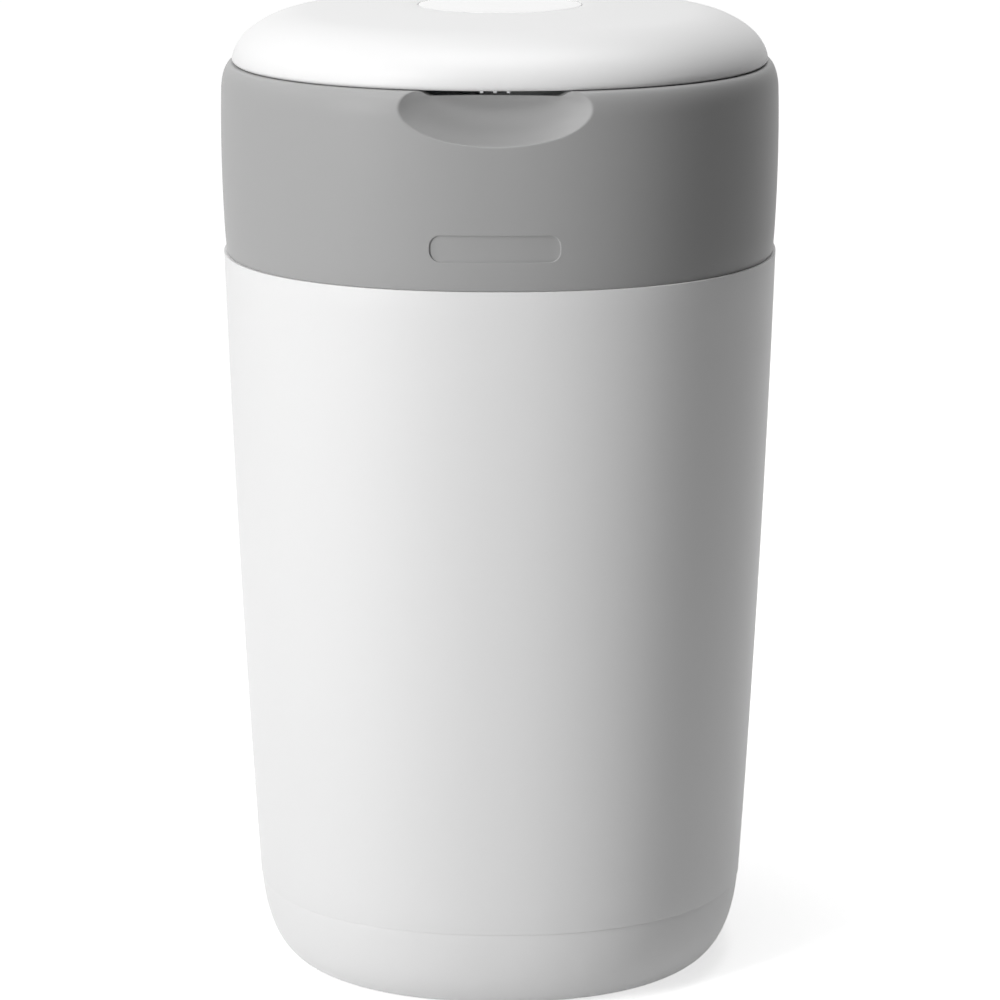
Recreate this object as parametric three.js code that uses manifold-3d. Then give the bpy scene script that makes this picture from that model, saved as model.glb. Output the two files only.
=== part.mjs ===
// Nappy bin with a film cassette: a tapered tub, a tipping head with a twist ring, and a domed lid.
// Millimetres, +Z up. The origin is on the floor under the middle of the bin, and the front faces -Y.

import * as THREE from 'three';
import { mergeVertices } from 'three/addons/utils/BufferGeometryUtils.js';
import Module from 'manifold-3d';

const wasm = await Module();
wasm.setup();

// Shared fits and fineness
const fitGap = 0.3;
const overrun = 5;
const planSteps = 48;
const roundSteps = 36;
const smallSteps = 12;
const curveSteps = 4;
const coarseSteps = 2;

// The plan of every casing is a rounded square; 2 would be a circle
const planExponent = 2.2;
const casingWall = 2.8;

// Driving sizes: the bin's half width at its shoulder, the height of its seam, and the head above it
const collarShoulderHalfWidth = 129.7;
const headSplitHeight = 342;
const headHeight = 88;

// Base: its seam, and how far its rounded corner and its foot stand in from the seam
const baseSeamHeight = 39.8;
const baseCornerInset = 3;
const baseCornerHeight = 1.6;
const footInset = 24;
const footRingWidth = 9;
const underRecess = 3;
const baseSeamGap = 0.4;

// Tub
const tubRimInset = 0.3;
const tubTaper = 13.7;
const tubBow = 1.3;
const tubRimRound = 0.8;
const floorCorner = 6;

// Collar casing of the head
const lidSeamGap = 0.6;
const collarFootInset = 0.9;
const collarBulge = 0.9;
const collarShoulderIn = 5;
const collarFootRoundIn = 0.8;
const collarFootRoundUp = 9.5;
const collarShoulderDrop = 13;
const headSpigotDepth = 12;
const headSpigotWall = 2.4;
const headSpigotGap = 1;
const spigotShoulder = 4;

// Finger scoop at the top of the collar's front, part of an ellipsoid
const scoopHalfWidth = 47.5;
const scoopDepth = 13.5;
const scoopDrop = 18.1;
const scoopCentreDrop = 5.3;
const scoopWall = 2.4;

// Blank badge recess in the collar's front
const badgeWidth = 58;
const badgeHeight = 12;
const badgeCorner = 5;
const badgeDepth = 0.8;
const badgeRise = 19;

// Hinge of the head, at the back of the tub's rim, and hinge of the lid, at the back of the shoulder
const hingeRoom = 0.6;
const headHingeInset = 3.9;
const headKnuckleRadius = 4.5;
const headPinRadius = 2;
const headHingeMiddle = 19;
const headHingeHalf = 34;
const lidHingeInset = 3.7;
const lidKnuckleRadius = 4;
const lidPinRadius = 1.7;
const lidHingeMiddle = 17;
const lidHingeHalf = 31;

// Lid
const lidWall = 2.6;
const lidEdgeIn = 34.5;
const lidEdgeUp = 20.5;
const lidCrown = 5.2;
const inlayRadius = 38;
const inlayRecess = 0.9;
const inlayProud = 0.25;
const linerLift = 0.9;
const linerThickness = 2;
const fingerLipHalfWidth = 18;
const fingerLipDrop = 2.7;
const fingerLipThickness = 2;
const gripRibPitch = 5.9;
const gripRibCount = 3;
const gripRibWidth = 1.6;
const gripRibDepth = 2;

// Plug and seal under the lid
const plugOverlap = 2;
const plugWall = 2.2;
const plugDrop = 6;
const sealWidth = 10;
const sealOverhang = 4;
const sealLipWidth = 2;
const sealLipHeight = 1.7;

// Deck
const deckTopDrop = 6;
const deckThickness = 2.6;
const deckSkirtDrop = 12;
const deckSkirtWall = 2.4;
const deckOverlap = 4.8;

// Cassette cup
const cupWall = 2.6;
const cupFlangeInset = 17.7;
const cupFlangeWidth = 12.5;
const cupFlangeThickness = 2.7;
const cupFloorThickness = 2.5;
const cupFloorRise = 14.5;
const cupThroatStep = 2;
const cupLedgeWidth = 2.3;
const clampRimDrop = 5.5;
const clampRimWall = 2.2;

// Screws from the cup's flange into the deck
const screwCount = 4;
const screwInset = 5;
const screwShankRadius = 1.5;
const screwHeadRadius = 3.2;
const screwHeadHeight = 1.9;
const screwBite = 1.8;

// Soft fingers that grip a nappy, and the ring that clamps them
const fingerRingWidth = 10;
const fingerRootInset = 5;
const fingerLength = 32;
const fingerDrop = 14;
const fingerThickness = 1.9;
const fingerCount = 8;
const fingerSlotWidth = 2;
const fingerSlotInset = 3;
const clampThickness = 2.2;
const clampWidth = 12;

// Twist ring
const ringRunningGap = 0.7;
const ringFlangeHeight = 7;
const ringFlangeWidth = 2.6;
const ringRimHeight = 5;
const ringRimWidth = 3.5;
const ringRimRound = 1.2;
const ringPlateDrop = 0.5;
const ringPlateThickness = 2.6;
const ringSlopeWidth = 20;
const ringSlopeRise = 2.4;
const throatStep = 0.4;
const throatWall = 2;
const throatDepth = 11;
const throatRound = 3.5;
const toothCount = 18;
const toothDepth = 1.4;
const toothedHeight = 3.5;

// Finger grips on the twist ring, and the pegs that drive the cassette
const gripCount = 4;
const gripInset = 3.3;
const gripLength = 18;
const gripWidth = 12;
const gripRise = 8.2;
const gripBevel = 2;
const pegRadius = 2.5;
const pegInset = 12.4;
const pegBite = 1.5;

// Click pawl on the cup's wall
const pawlLength = 28;
const pawlThickness = 1.5;
const pawlNoseWidth = 5;
const pawlWindowWidth = 12;
const pawlNoseGap = 0.4;

// Film cassette
const cassetteGap = 0.8;
const cassetteWall = 1.8;
const cassetteWidth = 36.8;
const trayInnerRise = 4.2;
const capThickness = 2.4;
const capRimDrop = 4.6;
const capRimWall = 1.9;
const filmSlotWidth = 4.6;
const filmHeadroom = 0.7;
const filmCorner = 4;
const filmSkin = 0.5;

// Film cutter
const cutterInset = 14.3;
const cutterStroke = 4;
const cutterButtonRadius = 8.8;
const cutterButtonHeight = 11.2;
const cutterButtonTop = 8;
const cutterButtonRound = 2;
const cutterSlideGap = 0.4;
const cutterStemRadius = 3;
const wellWall = 2;
const wellFloorThickness = 1.6;
const cutterArmThickness = 1.8;
const cutterArmWidth = 6;
const bladeWidth = 4.3;
const bladeThickness = 0.8;
const bladeHeight = 4.6;
const bladeSink = 0.6;
const springRadius = 6;
const springWireRadius = 0.4;
const springTurns = 4;
const springTurnSteps = 10;
const springWireSides = 5;

// Widths that follow from the values above, from the outside in
const tubRimHalfWidth = collarShoulderHalfWidth - tubRimInset;
const baseRimHalfWidth = tubRimHalfWidth - tubTaper;
const footHalfWidth = baseRimHalfWidth - footInset;
const collarTopHalfWidth = collarShoulderHalfWidth - collarShoulderIn;
const cupFlangeRadius = collarShoulderHalfWidth - cupFlangeInset;
const screwCircleRadius = cupFlangeRadius - screwInset;
const ringBoreRadius = cupFlangeRadius - cupFlangeWidth;
const ringOuterRadius = ringBoreRadius - ringRunningGap;
const deckHoleRadius = ringOuterRadius - deckOverlap;
const ringRimRadius = deckHoleRadius - ringRunningGap;
const gripOuterRadius = ringRimRadius - gripInset;
const cutterCircleRadius = ringRimRadius - cutterInset;
const cupBoreRadius = ringBoreRadius - cupLedgeWidth;
const trayOuterRadius = cupBoreRadius - cassetteGap;
const pegCircleRadius = trayOuterRadius - pegInset;
const cassetteBoreRadius = trayOuterRadius - cassetteWidth;
const filmSlotRadius = cassetteBoreRadius + cassetteWall + filmSlotWidth;
const throatRadius = cassetteBoreRadius + throatStep;
const plugRadius = throatRadius + plugOverlap;
const sealOuterRadius = plugRadius + sealOverhang;
const cupThroatRadius = throatRadius + cupThroatStep;
const fingerRingOuterRadius = cupThroatRadius + fingerRingWidth;
const fingerRootRadius = cupThroatRadius - fingerRootInset;
const fingerTipRadius = fingerRootRadius - fingerLength;
const wellRadius = cutterButtonRadius + cutterSlideGap;
const bladeInnerEnd = -(cutterCircleRadius - throatRadius - throatWall - 2 * fitGap);

// Heights that follow, from the lid seam down and from the cup's floor up
const lidSeamHeight = headSplitHeight + headHeight;
const tubFootHeight = baseSeamHeight + baseSeamGap;
const tubRimHeight = headSplitHeight - baseSeamGap;
const collarTopHeight = lidSeamHeight - lidSeamGap / 2;
const lidRimHeight = lidSeamHeight + lidSeamGap / 2;
const scoopCentreHeight = lidSeamHeight - scoopCentreDrop;
const deckTopHeight = lidSeamHeight - deckTopDrop;
const deckUnderHeight = deckTopHeight - deckThickness;
const cupFlangeTop = deckUnderHeight - fitGap;
const cupFlangeUnder = cupFlangeTop - cupFlangeThickness;
const ringFlangeTop = deckUnderHeight - fitGap;
const ringFlangeUnder = ringFlangeTop - ringFlangeHeight;
const cupLedgeHeight = ringFlangeUnder - fitGap;
const ringPlateTop = ringFlangeTop - ringPlateDrop;
const ringPlateUnder = ringPlateTop - ringPlateThickness;
const throatUnder = ringPlateTop - throatDepth;
const linerUnderHeight = lidRimHeight + linerLift;
const plugTopHeight = linerUnderHeight - fitGap;
const plugUnderHeight = plugTopHeight - plugDrop;
const sealTopHeight = plugUnderHeight - fitGap;
const cutterTopHeight = ringPlateTop + cutterButtonTop;
const cutterButtonUnder = cutterTopHeight - cutterButtonHeight;
const springLength = 2 * cutterStroke;
const wellFloorTop = cutterButtonUnder - springLength - 2 * fitGap;
const wellUnderHeight = wellFloorTop - wellFloorThickness;
const cutterArmTop = wellUnderHeight - fitGap;
const bladeUnder = cutterArmTop - bladeSink;
const filmLeadTop = bladeUnder - cutterStroke - fitGap;
const trayInnerTop = filmLeadTop - filmSkin - fitGap;
const trayOuterTop = trayInnerTop - trayInnerRise;
const capUnderHeight = trayOuterTop + fitGap;
const capTopHeight = capUnderHeight + capThickness;
const filmTopHeight = capUnderHeight - capRimDrop - filmHeadroom;
const cupFloorHeight = headSplitHeight + cupFloorRise;
const cupUnderHeight = cupFloorHeight - cupFloorThickness;
const trayUnderHeight = cupFloorHeight + fitGap;
const fingerTopHeight = cupUnderHeight - fitGap;
const clampTopHeight = fingerTopHeight - fingerThickness - fitGap;
const screwTipHeight = deckUnderHeight + screwBite;

const headHinge = {
  y: tubRimHalfWidth - headHingeInset,
  z: headSplitHeight,
  knuckleRadius: headKnuckleRadius,
  pinRadius: headPinRadius,
  middle: headHingeMiddle,
  half: headHingeHalf,
};
const lidHinge = {
  y: collarShoulderHalfWidth - lidHingeInset,
  z: lidSeamHeight,
  knuckleRadius: lidKnuckleRadius,
  pinRadius: lidPinRadius,
  middle: lidHingeMiddle,
  half: lidHingeHalf,
};

// Shape tools

// A closed three.js geometry as a solid, with its faces pointing out
function solidOf(geometry) {
  const bare = geometry.clone();
  bare.deleteAttribute('normal');
  bare.deleteAttribute('uv');
  const merged = mergeVertices(bare);
  const position = merged.getAttribute('position');
  const vertices = Float32Array.from(position.array);
  const triangles = [];
  const corner = [new THREE.Vector3(), new THREE.Vector3(), new THREE.Vector3()];
  let volume = 0;
  for (let i = 0; i < merged.index.count; i += corner.length) {
    const face = [merged.index.getX(i), merged.index.getX(i + 1), merged.index.getX(i + 2)];
    if (new Set(face).size === corner.length) {
      face.forEach((vertex, place) => corner[place].fromBufferAttribute(position, vertex));
      volume += corner[0].dot(corner[1].clone().cross(corner[2]));
      triangles.push(face);
    }
  }
  if (volume < 0) {
    triangles.forEach((face) => face.reverse());
  }
  const triVerts = Uint32Array.from(triangles.flat());
  return new wasm.Manifold(new wasm.Mesh({ numProp: 3, vertProperties: vertices, triVerts }));
}

// A solid as a three.js geometry again
function geometryOf(solid) {
  const mesh = solid.getMesh();
  const geometry = new THREE.BufferGeometry();
  geometry.setAttribute('position', new THREE.BufferAttribute(mesh.vertProperties, mesh.numProp));
  geometry.setIndex(new THREE.BufferAttribute(mesh.triVerts, 1));
  geometry.computeVertexNormals();
  return geometry;
}

// A profile of [radius, height] points turned about the Z axis
function latheGeometry(profile, steps) {
  const points = profile.map(([radius, height]) => new THREE.Vector2(radius, height));
  if (profile[0][0] > 0) {
    points.push(points[0].clone());
  }
  return new THREE.LatheGeometry(points, steps).rotateX(Math.PI / 2);
}

function turned(profile, steps = roundSteps) {
  return solidOf(latheGeometry(profile, steps));
}

// The same with [half width, height] points and the rounded-square plan
function turnedSquare(profile) {
  const geometry = latheGeometry(profile, planSteps);
  const position = geometry.getAttribute('position');
  for (let i = 0; i < position.count; i += 1) {
    const x = position.getX(i);
    const y = position.getY(i);
    const radius = Math.hypot(x, y);
    if (radius > 0) {
      const across = Math.abs(x / radius) ** planExponent + Math.abs(y / radius) ** planExponent;
      const stretch = across ** (-1 / planExponent);
      position.setXY(i, x * stretch, y * stretch);
    }
  }
  return solidOf(geometry);
}

function block(low, high) {
  const size = low.map((value, axis) => high[axis] - value);
  const geometry = new THREE.BoxGeometry(...size);
  return solidOf(geometry.translate(...low.map((value, axis) => value + size[axis] / 2)));
}

// A round rod along Z between two heights
function rod(radius, low, high, steps = roundSteps) {
  const geometry = new THREE.CylinderGeometry(radius, radius, high - low, steps).rotateX(Math.PI / 2);
  return solidOf(geometry.translate(0, 0, (low + high) / 2));
}

// A round rod along X between two places
function crossRod(radius, low, high, y, z) {
  return rod(radius, low, high, smallSteps).rotate([0, 90, 0]).translate([0, y, z]);
}

// Copies of a solid set round the Z axis
function ringOf(solid, count, firstTurn = 0) {
  const turn = 360 / count;
  const copies = Array.from({ length: count }, (_, i) => solid.rotate([0, 0, firstTurn + i * turn]));
  return copies.reduce((all, copy) => all.add(copy));
}

// Points of a quarter ellipse: from beside the centre to above it
function quarter(centreRadius, centreHeight, inward, upward, steps = curveSteps) {
  return Array.from({ length: steps + 1 }, (_, i) => {
    const angle = (i / steps) * (Math.PI / 2);
    return [centreRadius + inward * Math.cos(angle), centreHeight + upward * Math.sin(angle)];
  });
}

// A rectangle with round corners, centred on the origin
function roundedRectangle(width, height, corner) {
  const shape = new THREE.Shape();
  const x = width / 2 - corner;
  const y = height / 2 - corner;
  shape.absarc(x, y, corner, 0, Math.PI / 2);
  shape.absarc(-x, y, corner, Math.PI / 2, Math.PI);
  shape.absarc(-x, -y, corner, Math.PI, 1.5 * Math.PI);
  shape.absarc(x, -y, corner, 1.5 * Math.PI, 2 * Math.PI);
  shape.closePath();
  return shape;
}

// An ellipsoid about the middle of the scoop, grown by a margin
function scoopForm(margin) {
  const geometry = new THREE.SphereGeometry(1, roundSteps / 2, smallSteps);
  geometry.scale(scoopHalfWidth + margin, scoopDepth + margin, scoopDrop + margin);
  return solidOf(geometry.translate(0, -collarShoulderHalfWidth, scoopCentreHeight));
}

// Hinge tools: knuckles, the bore through them, and the room that a neighbour leaves for them

function knuckle(hinge, low, high) {
  return crossRod(hinge.knuckleRadius, low, high, hinge.y, hinge.z);
}

function middleKnuckle(hinge) {
  return knuckle(hinge, -hinge.middle + fitGap, hinge.middle - fitGap);
}

function outerKnuckles(hinge) {
  const right = knuckle(hinge, hinge.middle + fitGap, hinge.half);
  return right.add(knuckle(hinge, -hinge.half, -hinge.middle - fitGap));
}

function hingeBore(hinge) {
  const reach = hinge.half + overrun;
  return crossRod(hinge.pinRadius + fitGap, -reach, reach, hinge.y, hinge.z);
}

function middleRoom(hinge) {
  const reach = hinge.knuckleRadius + hingeRoom;
  return block(
    [-hinge.middle, hinge.y - reach, hinge.z - reach],
    [hinge.middle, hinge.y + reach + overrun, hinge.z + reach],
  );
}

function outerRoom(hinge) {
  const reach = hinge.knuckleRadius + hingeRoom;
  const right = block(
    [hinge.middle, hinge.y - reach, hinge.z - reach],
    [hinge.half + hingeRoom, hinge.y + reach + overrun, hinge.z + reach],
  );
  return right.add(right.mirror([1, 0, 0]));
}

// Casing profiles

function tubHalfWidth(height) {
  const share = (height - baseSeamHeight) / (headSplitHeight - baseSeamHeight);
  const straight = THREE.MathUtils.lerp(baseRimHalfWidth, tubRimHalfWidth, share);
  return straight + 4 * tubBow * share * (1 - share);
}

function tubWallPoints(inset, lowHeight, highHeight) {
  return Array.from({ length: curveSteps + 1 }, (_, i) => {
    const height = THREE.MathUtils.lerp(lowHeight, highHeight, i / curveSteps);
    return [tubHalfWidth(height) - inset, height];
  });
}

// The base's outer corner, from its seam down to the foot
const baseCorner = new THREE.QuadraticBezierCurve(
  new THREE.Vector2(baseRimHalfWidth, baseSeamHeight),
  new THREE.Vector2(baseRimHalfWidth - baseCornerInset, baseCornerHeight),
  new THREE.Vector2(footHalfWidth, 0),
);

// The base's inner corner, whose first stretch also shapes the tub's spigot
const baseInnerCorner = new THREE.QuadraticBezierCurve(
  new THREE.Vector2(baseRimHalfWidth - casingWall, baseSeamHeight),
  new THREE.Vector2(baseRimHalfWidth - baseCornerInset - casingWall, underRecess + casingWall),
  new THREE.Vector2(footHalfWidth, underRecess + casingWall),
);

function collarOuterPoints(inset = 0) {
  const collarFootHalfWidth = collarShoulderHalfWidth - collarFootInset;
  const collarBulgeHalfWidth = collarShoulderHalfWidth + collarBulge;
  const foot = quarter(
    collarFootHalfWidth - collarFootRoundIn,
    headSplitHeight + collarFootRoundUp,
    collarFootRoundIn,
    -collarFootRoundUp,
    coarseSteps,
  ).reverse();
  const shoulderHeight = lidSeamHeight - collarShoulderDrop;
  const side = new THREE.QuadraticBezierCurve(
    new THREE.Vector2(collarFootHalfWidth, headSplitHeight + collarFootRoundUp),
    new THREE.Vector2(collarBulgeHalfWidth, (headSplitHeight + lidSeamHeight) / 2),
    new THREE.Vector2(collarShoulderHalfWidth, shoulderHeight),
  ).getPoints(curveSteps);
  const shoulder = quarter(
    collarTopHalfWidth,
    shoulderHeight,
    collarShoulderIn,
    collarTopHeight - shoulderHeight,
  );
  const points = [...foot, ...side.slice(1, -1).map((point) => [point.x, point.y]), ...shoulder];
  return points.map(([halfWidth, height]) => [halfWidth - inset, height]);
}

function collarForm(inset) {
  return turnedSquare([[0, headSplitHeight], ...collarOuterPoints(inset), [0, collarTopHeight]]);
}

// Half width of a rising profile at a height between two of its points
function halfWidthAt(points, height) {
  const above = points.findIndex(([, pointHeight]) => pointHeight > height);
  const [lowWidth, lowHeight] = points[above - 1];
  const [highWidth, highHeight] = points[above];
  return THREE.MathUtils.lerp(lowWidth, highWidth, (height - lowHeight) / (highHeight - lowHeight));
}

// Height of the lid's surface above its rim, from the dome's edge to its crown
function lidPoints(rimHalfWidth, edgeUp, lowering, steps = curveSteps) {
  const edge = quarter(rimHalfWidth - lidEdgeIn, lidRimHeight, lidEdgeIn, edgeUp, 2 * steps - 1);
  const flat = Array.from({ length: coarseSteps }, (_, i) => [
    (rimHalfWidth - lidEdgeIn) * (1 - (i + 1) / coarseSteps),
    lidRimHeight + edgeUp,
  ]);
  return [...edge, ...flat].map(([halfWidth, height]) => [
    halfWidth,
    height + lidCrown * (1 - (halfWidth / rimHalfWidth) ** 2) - lowering,
  ]);
}

function lidTopAt(radius) {
  return lidRimHeight + lidEdgeUp + lidCrown * (1 - (radius / collarTopHalfWidth) ** 2);
}

// Tub pieces

function tubShell() {
  const [spigotTop, spigotFoot] = baseInnerCorner.getPoints(curveSteps);
  const floorTop = spigotFoot.y + casingWall;
  const body = turnedSquare([
    [0, spigotFoot.y],
    [spigotFoot.x - fitGap, spigotFoot.y],
    [spigotTop.x - fitGap, tubFootHeight],
    ...tubWallPoints(0, tubFootHeight, tubRimHeight - tubRimRound),
    [tubRimHalfWidth - tubRimRound, tubRimHeight],
    [tubRimHalfWidth - casingWall, tubRimHeight],
    ...tubWallPoints(casingWall, tubFootHeight + floorCorner, tubRimHeight - tubRimRound).reverse(),
    [spigotTop.x - fitGap - casingWall, tubFootHeight],
    [spigotFoot.x - fitGap - casingWall, floorTop + floorCorner],
    [spigotFoot.x - fitGap - casingWall - floorCorner, floorTop],
    [0, floorTop],
  ]);
  return body.subtract(middleRoom(headHinge)).add(outerKnuckles(headHinge)).subtract(hingeBore(headHinge));
}

function baseShell() {
  const outerPoints = baseCorner.getPoints(2 * curveSteps - 1).reverse();
  return turnedSquare([
    [0, underRecess],
    [footHalfWidth - footRingWidth - underRecess, underRecess],
    [footHalfWidth - footRingWidth, 0],
    ...outerPoints.map((point) => [point.x, point.y]),
    ...baseInnerCorner.getPoints(curveSteps).map((point) => [point.x, point.y]),
    [0, underRecess + casingWall],
  ]);
}

// Head pieces

function collarShell() {
  const footRoundTop = headSplitHeight + collarFootRoundUp;
  const inner = collarOuterPoints(casingWall).filter(([, height]) => height >= footRoundTop);
  const spigotFoot = headSplitHeight - headSpigotDepth;
  const spigotHalfWidth = (height) => tubHalfWidth(height) - casingWall - headSpigotGap;
  const shell = turnedSquare([
    ...collarOuterPoints(),
    ...inner.reverse(),
    [spigotHalfWidth(headSplitHeight) - headSpigotWall, headSplitHeight + spigotShoulder],
    [spigotHalfWidth(spigotFoot) - headSpigotWall, spigotFoot],
    [spigotHalfWidth(spigotFoot), spigotFoot],
    [spigotHalfWidth(headSplitHeight), headSplitHeight],
  ]);
  const scoop = scoopForm(0);
  const bowl = scoopForm(scoopWall).intersect(collarForm(0));
  const badge = solidOf(
    new THREE.ExtrudeGeometry(roundedRectangle(badgeWidth, badgeHeight, badgeCorner), {
      depth: scoopDepth + overrun,
      bevelEnabled: false,
      curveSegments: curveSteps,
    })
      .rotateX(Math.PI / 2)
      .translate(0, scoopDepth - collarShoulderHalfWidth, headSplitHeight + badgeRise),
  );
  const spigotRelief = block(
    [-headHinge.half - hingeRoom, headHinge.y - 2 * headHinge.knuckleRadius, spigotFoot - overrun],
    [headHinge.half + hingeRoom, headHinge.y + overrun, headSplitHeight],
  );
  return shell
    .add(bowl)
    .subtract(scoop)
    .subtract(badge.subtract(collarForm(badgeDepth)))
    .subtract(outerRoom(headHinge))
    .subtract(spigotRelief)
    .add(middleKnuckle(headHinge))
    .subtract(hingeBore(headHinge))
    .subtract(outerRoom(lidHinge))
    .add(middleKnuckle(lidHinge))
    .subtract(hingeBore(lidHinge));
}

function headDeck() {
  const halfWidth = halfWidthAt(collarOuterPoints(casingWall), deckTopHeight) - fitGap;
  const plate = turnedSquare([
    [0, deckUnderHeight],
    [halfWidth - deckSkirtWall, deckUnderHeight],
    [halfWidth - deckSkirtWall, deckTopHeight - deckSkirtDrop],
    [halfWidth, deckTopHeight - deckSkirtDrop],
    [halfWidth, deckTopHeight],
    [0, deckTopHeight],
  ]);
  const blindHole = rod(screwShankRadius + fitGap, cupFlangeTop, screwTipHeight + fitGap, smallSteps);
  return plate
    .subtract(rod(deckHoleRadius, deckUnderHeight - overrun, deckTopHeight + overrun))
    .subtract(scoopForm(scoopWall + fitGap))
    .subtract(ringOf(blindHole.translate([screwCircleRadius, 0, 0]), screwCount, 180 / screwCount));
}

function deckScrew() {
  return turned([
    [0, cupFlangeUnder - fitGap - screwHeadHeight],
    [screwHeadRadius, cupFlangeUnder - fitGap - screwHeadHeight],
    [screwHeadRadius, cupFlangeUnder - fitGap],
    [screwShankRadius, cupFlangeUnder - fitGap],
    [screwShankRadius, screwTipHeight],
    [0, screwTipHeight],
  ], smallSteps);
}

function cassetteCup() {
  const outerRadius = cupBoreRadius + cupWall;
  const upperRadius = ringBoreRadius + cupWall;
  const rimRadius = fingerRingOuterRadius + fitGap;
  const cup = turned([
    [cupThroatRadius, cupUnderHeight],
    [rimRadius, cupUnderHeight],
    [rimRadius, cupUnderHeight - clampRimDrop],
    [rimRadius + clampRimWall, cupUnderHeight - clampRimDrop],
    [rimRadius + clampRimWall, cupUnderHeight],
    [outerRadius, cupUnderHeight],
    [outerRadius, cupLedgeHeight - cupWall],
    [upperRadius, cupLedgeHeight],
    [upperRadius, cupFlangeUnder],
    [cupFlangeRadius, cupFlangeUnder],
    [cupFlangeRadius, cupFlangeTop],
    [ringBoreRadius, cupFlangeTop],
    [ringBoreRadius, cupLedgeHeight],
    [cupBoreRadius, cupLedgeHeight],
    [cupBoreRadius, cupFloorHeight],
    [cupThroatRadius, cupFloorHeight],
  ]);
  const hole = rod(screwShankRadius + fitGap, cupFlangeUnder - overrun, cupFlangeTop + overrun, smallSteps);
  const window = block(
    [-upperRadius - overrun, -pawlWindowWidth / 2, ringFlangeUnder],
    [-cupBoreRadius, pawlWindowWidth / 2, ringFlangeUnder + toothedHeight],
  );
  return cup
    .subtract(ringOf(hole.translate([screwCircleRadius, 0, 0]), screwCount, 180 / screwCount))
    .subtract(window);
}

function gripDiaphragm() {
  const fingers = turned([
    [fingerRingOuterRadius, fingerTopHeight - fingerThickness],
    [fingerRingOuterRadius, fingerTopHeight],
    [fingerRootRadius, fingerTopHeight],
    [fingerTipRadius, fingerTopHeight - fingerDrop],
    [fingerTipRadius, fingerTopHeight - fingerDrop - fingerThickness],
    [fingerRootRadius, fingerTopHeight - fingerThickness],
  ]);
  const slot = block(
    [0, -fingerSlotWidth / 2, fingerTopHeight - fingerDrop - overrun],
    [fingerRootRadius - fingerSlotInset, fingerSlotWidth / 2, fingerTopHeight + overrun],
  );
  return fingers.subtract(ringOf(slot, fingerCount));
}

function diaphragmClamp() {
  return turned([
    [fingerRingOuterRadius - clampWidth, clampTopHeight - clampThickness],
    [fingerRingOuterRadius, clampTopHeight - clampThickness],
    [fingerRingOuterRadius, clampTopHeight],
    [fingerRingOuterRadius - clampWidth, clampTopHeight],
  ]);
}

function clickPawl() {
  const innerX = -(ringBoreRadius + cupWall + fitGap);
  const low = ringFlangeUnder + fitGap;
  const high = ringFlangeUnder + toothedHeight - fitGap;
  const strip = block([innerX - pawlThickness, -pawlLength / 2, low], [innerX, pawlLength / 2, high]);
  const nose = block(
    [innerX - pawlThickness, -pawlNoseWidth / 2, low],
    [-ringOuterRadius - pawlNoseGap, pawlNoseWidth / 2, high],
  );
  return strip.add(nose);
}

// Twist ring, and the cassette that turns with it

function toothedBand() {
  const outline = new THREE.Shape();
  for (let tooth = 0; tooth < toothCount; tooth += 1) {
    const start = (tooth / toothCount) * 2 * Math.PI;
    const end = ((tooth + 1) / toothCount) * 2 * Math.PI;
    const rootRadius = ringOuterRadius - toothDepth;
    const crest = new THREE.Vector2(Math.cos(start), Math.sin(start)).multiplyScalar(ringOuterRadius);
    const root = new THREE.Vector2(Math.cos(end), Math.sin(end)).multiplyScalar(rootRadius);
    if (tooth === 0) {
      outline.moveTo(crest.x, crest.y);
    } else {
      outline.lineTo(crest.x, crest.y);
    }
    outline.lineTo(root.x, root.y);
  }
  outline.closePath();
  const geometry = new THREE.ExtrudeGeometry(outline, { depth: toothedHeight, bevelEnabled: false });
  const bore = rod(ringOuterRadius - ringFlangeWidth, ringFlangeUnder - overrun, ringFlangeTop);
  return solidOf(geometry.translate(0, 0, ringFlangeUnder)).subtract(bore);
}

function fingerGrip() {
  const outline = roundedRectangle(gripLength, gripWidth, gripWidth / 2);
  const geometry = new THREE.ExtrudeGeometry(outline, {
    depth: gripRise + ringPlateThickness / 2 - 2 * gripBevel,
    bevelThickness: gripBevel,
    bevelSize: gripBevel,
    bevelOffset: -gripBevel,
    bevelSegments: 1,
    curveSegments: curveSteps,
  });
  const middle = gripOuterRadius - gripLength / 2;
  return solidOf(geometry.translate(middle, 0, ringPlateTop - ringPlateThickness / 2 + gripBevel));
}

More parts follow.
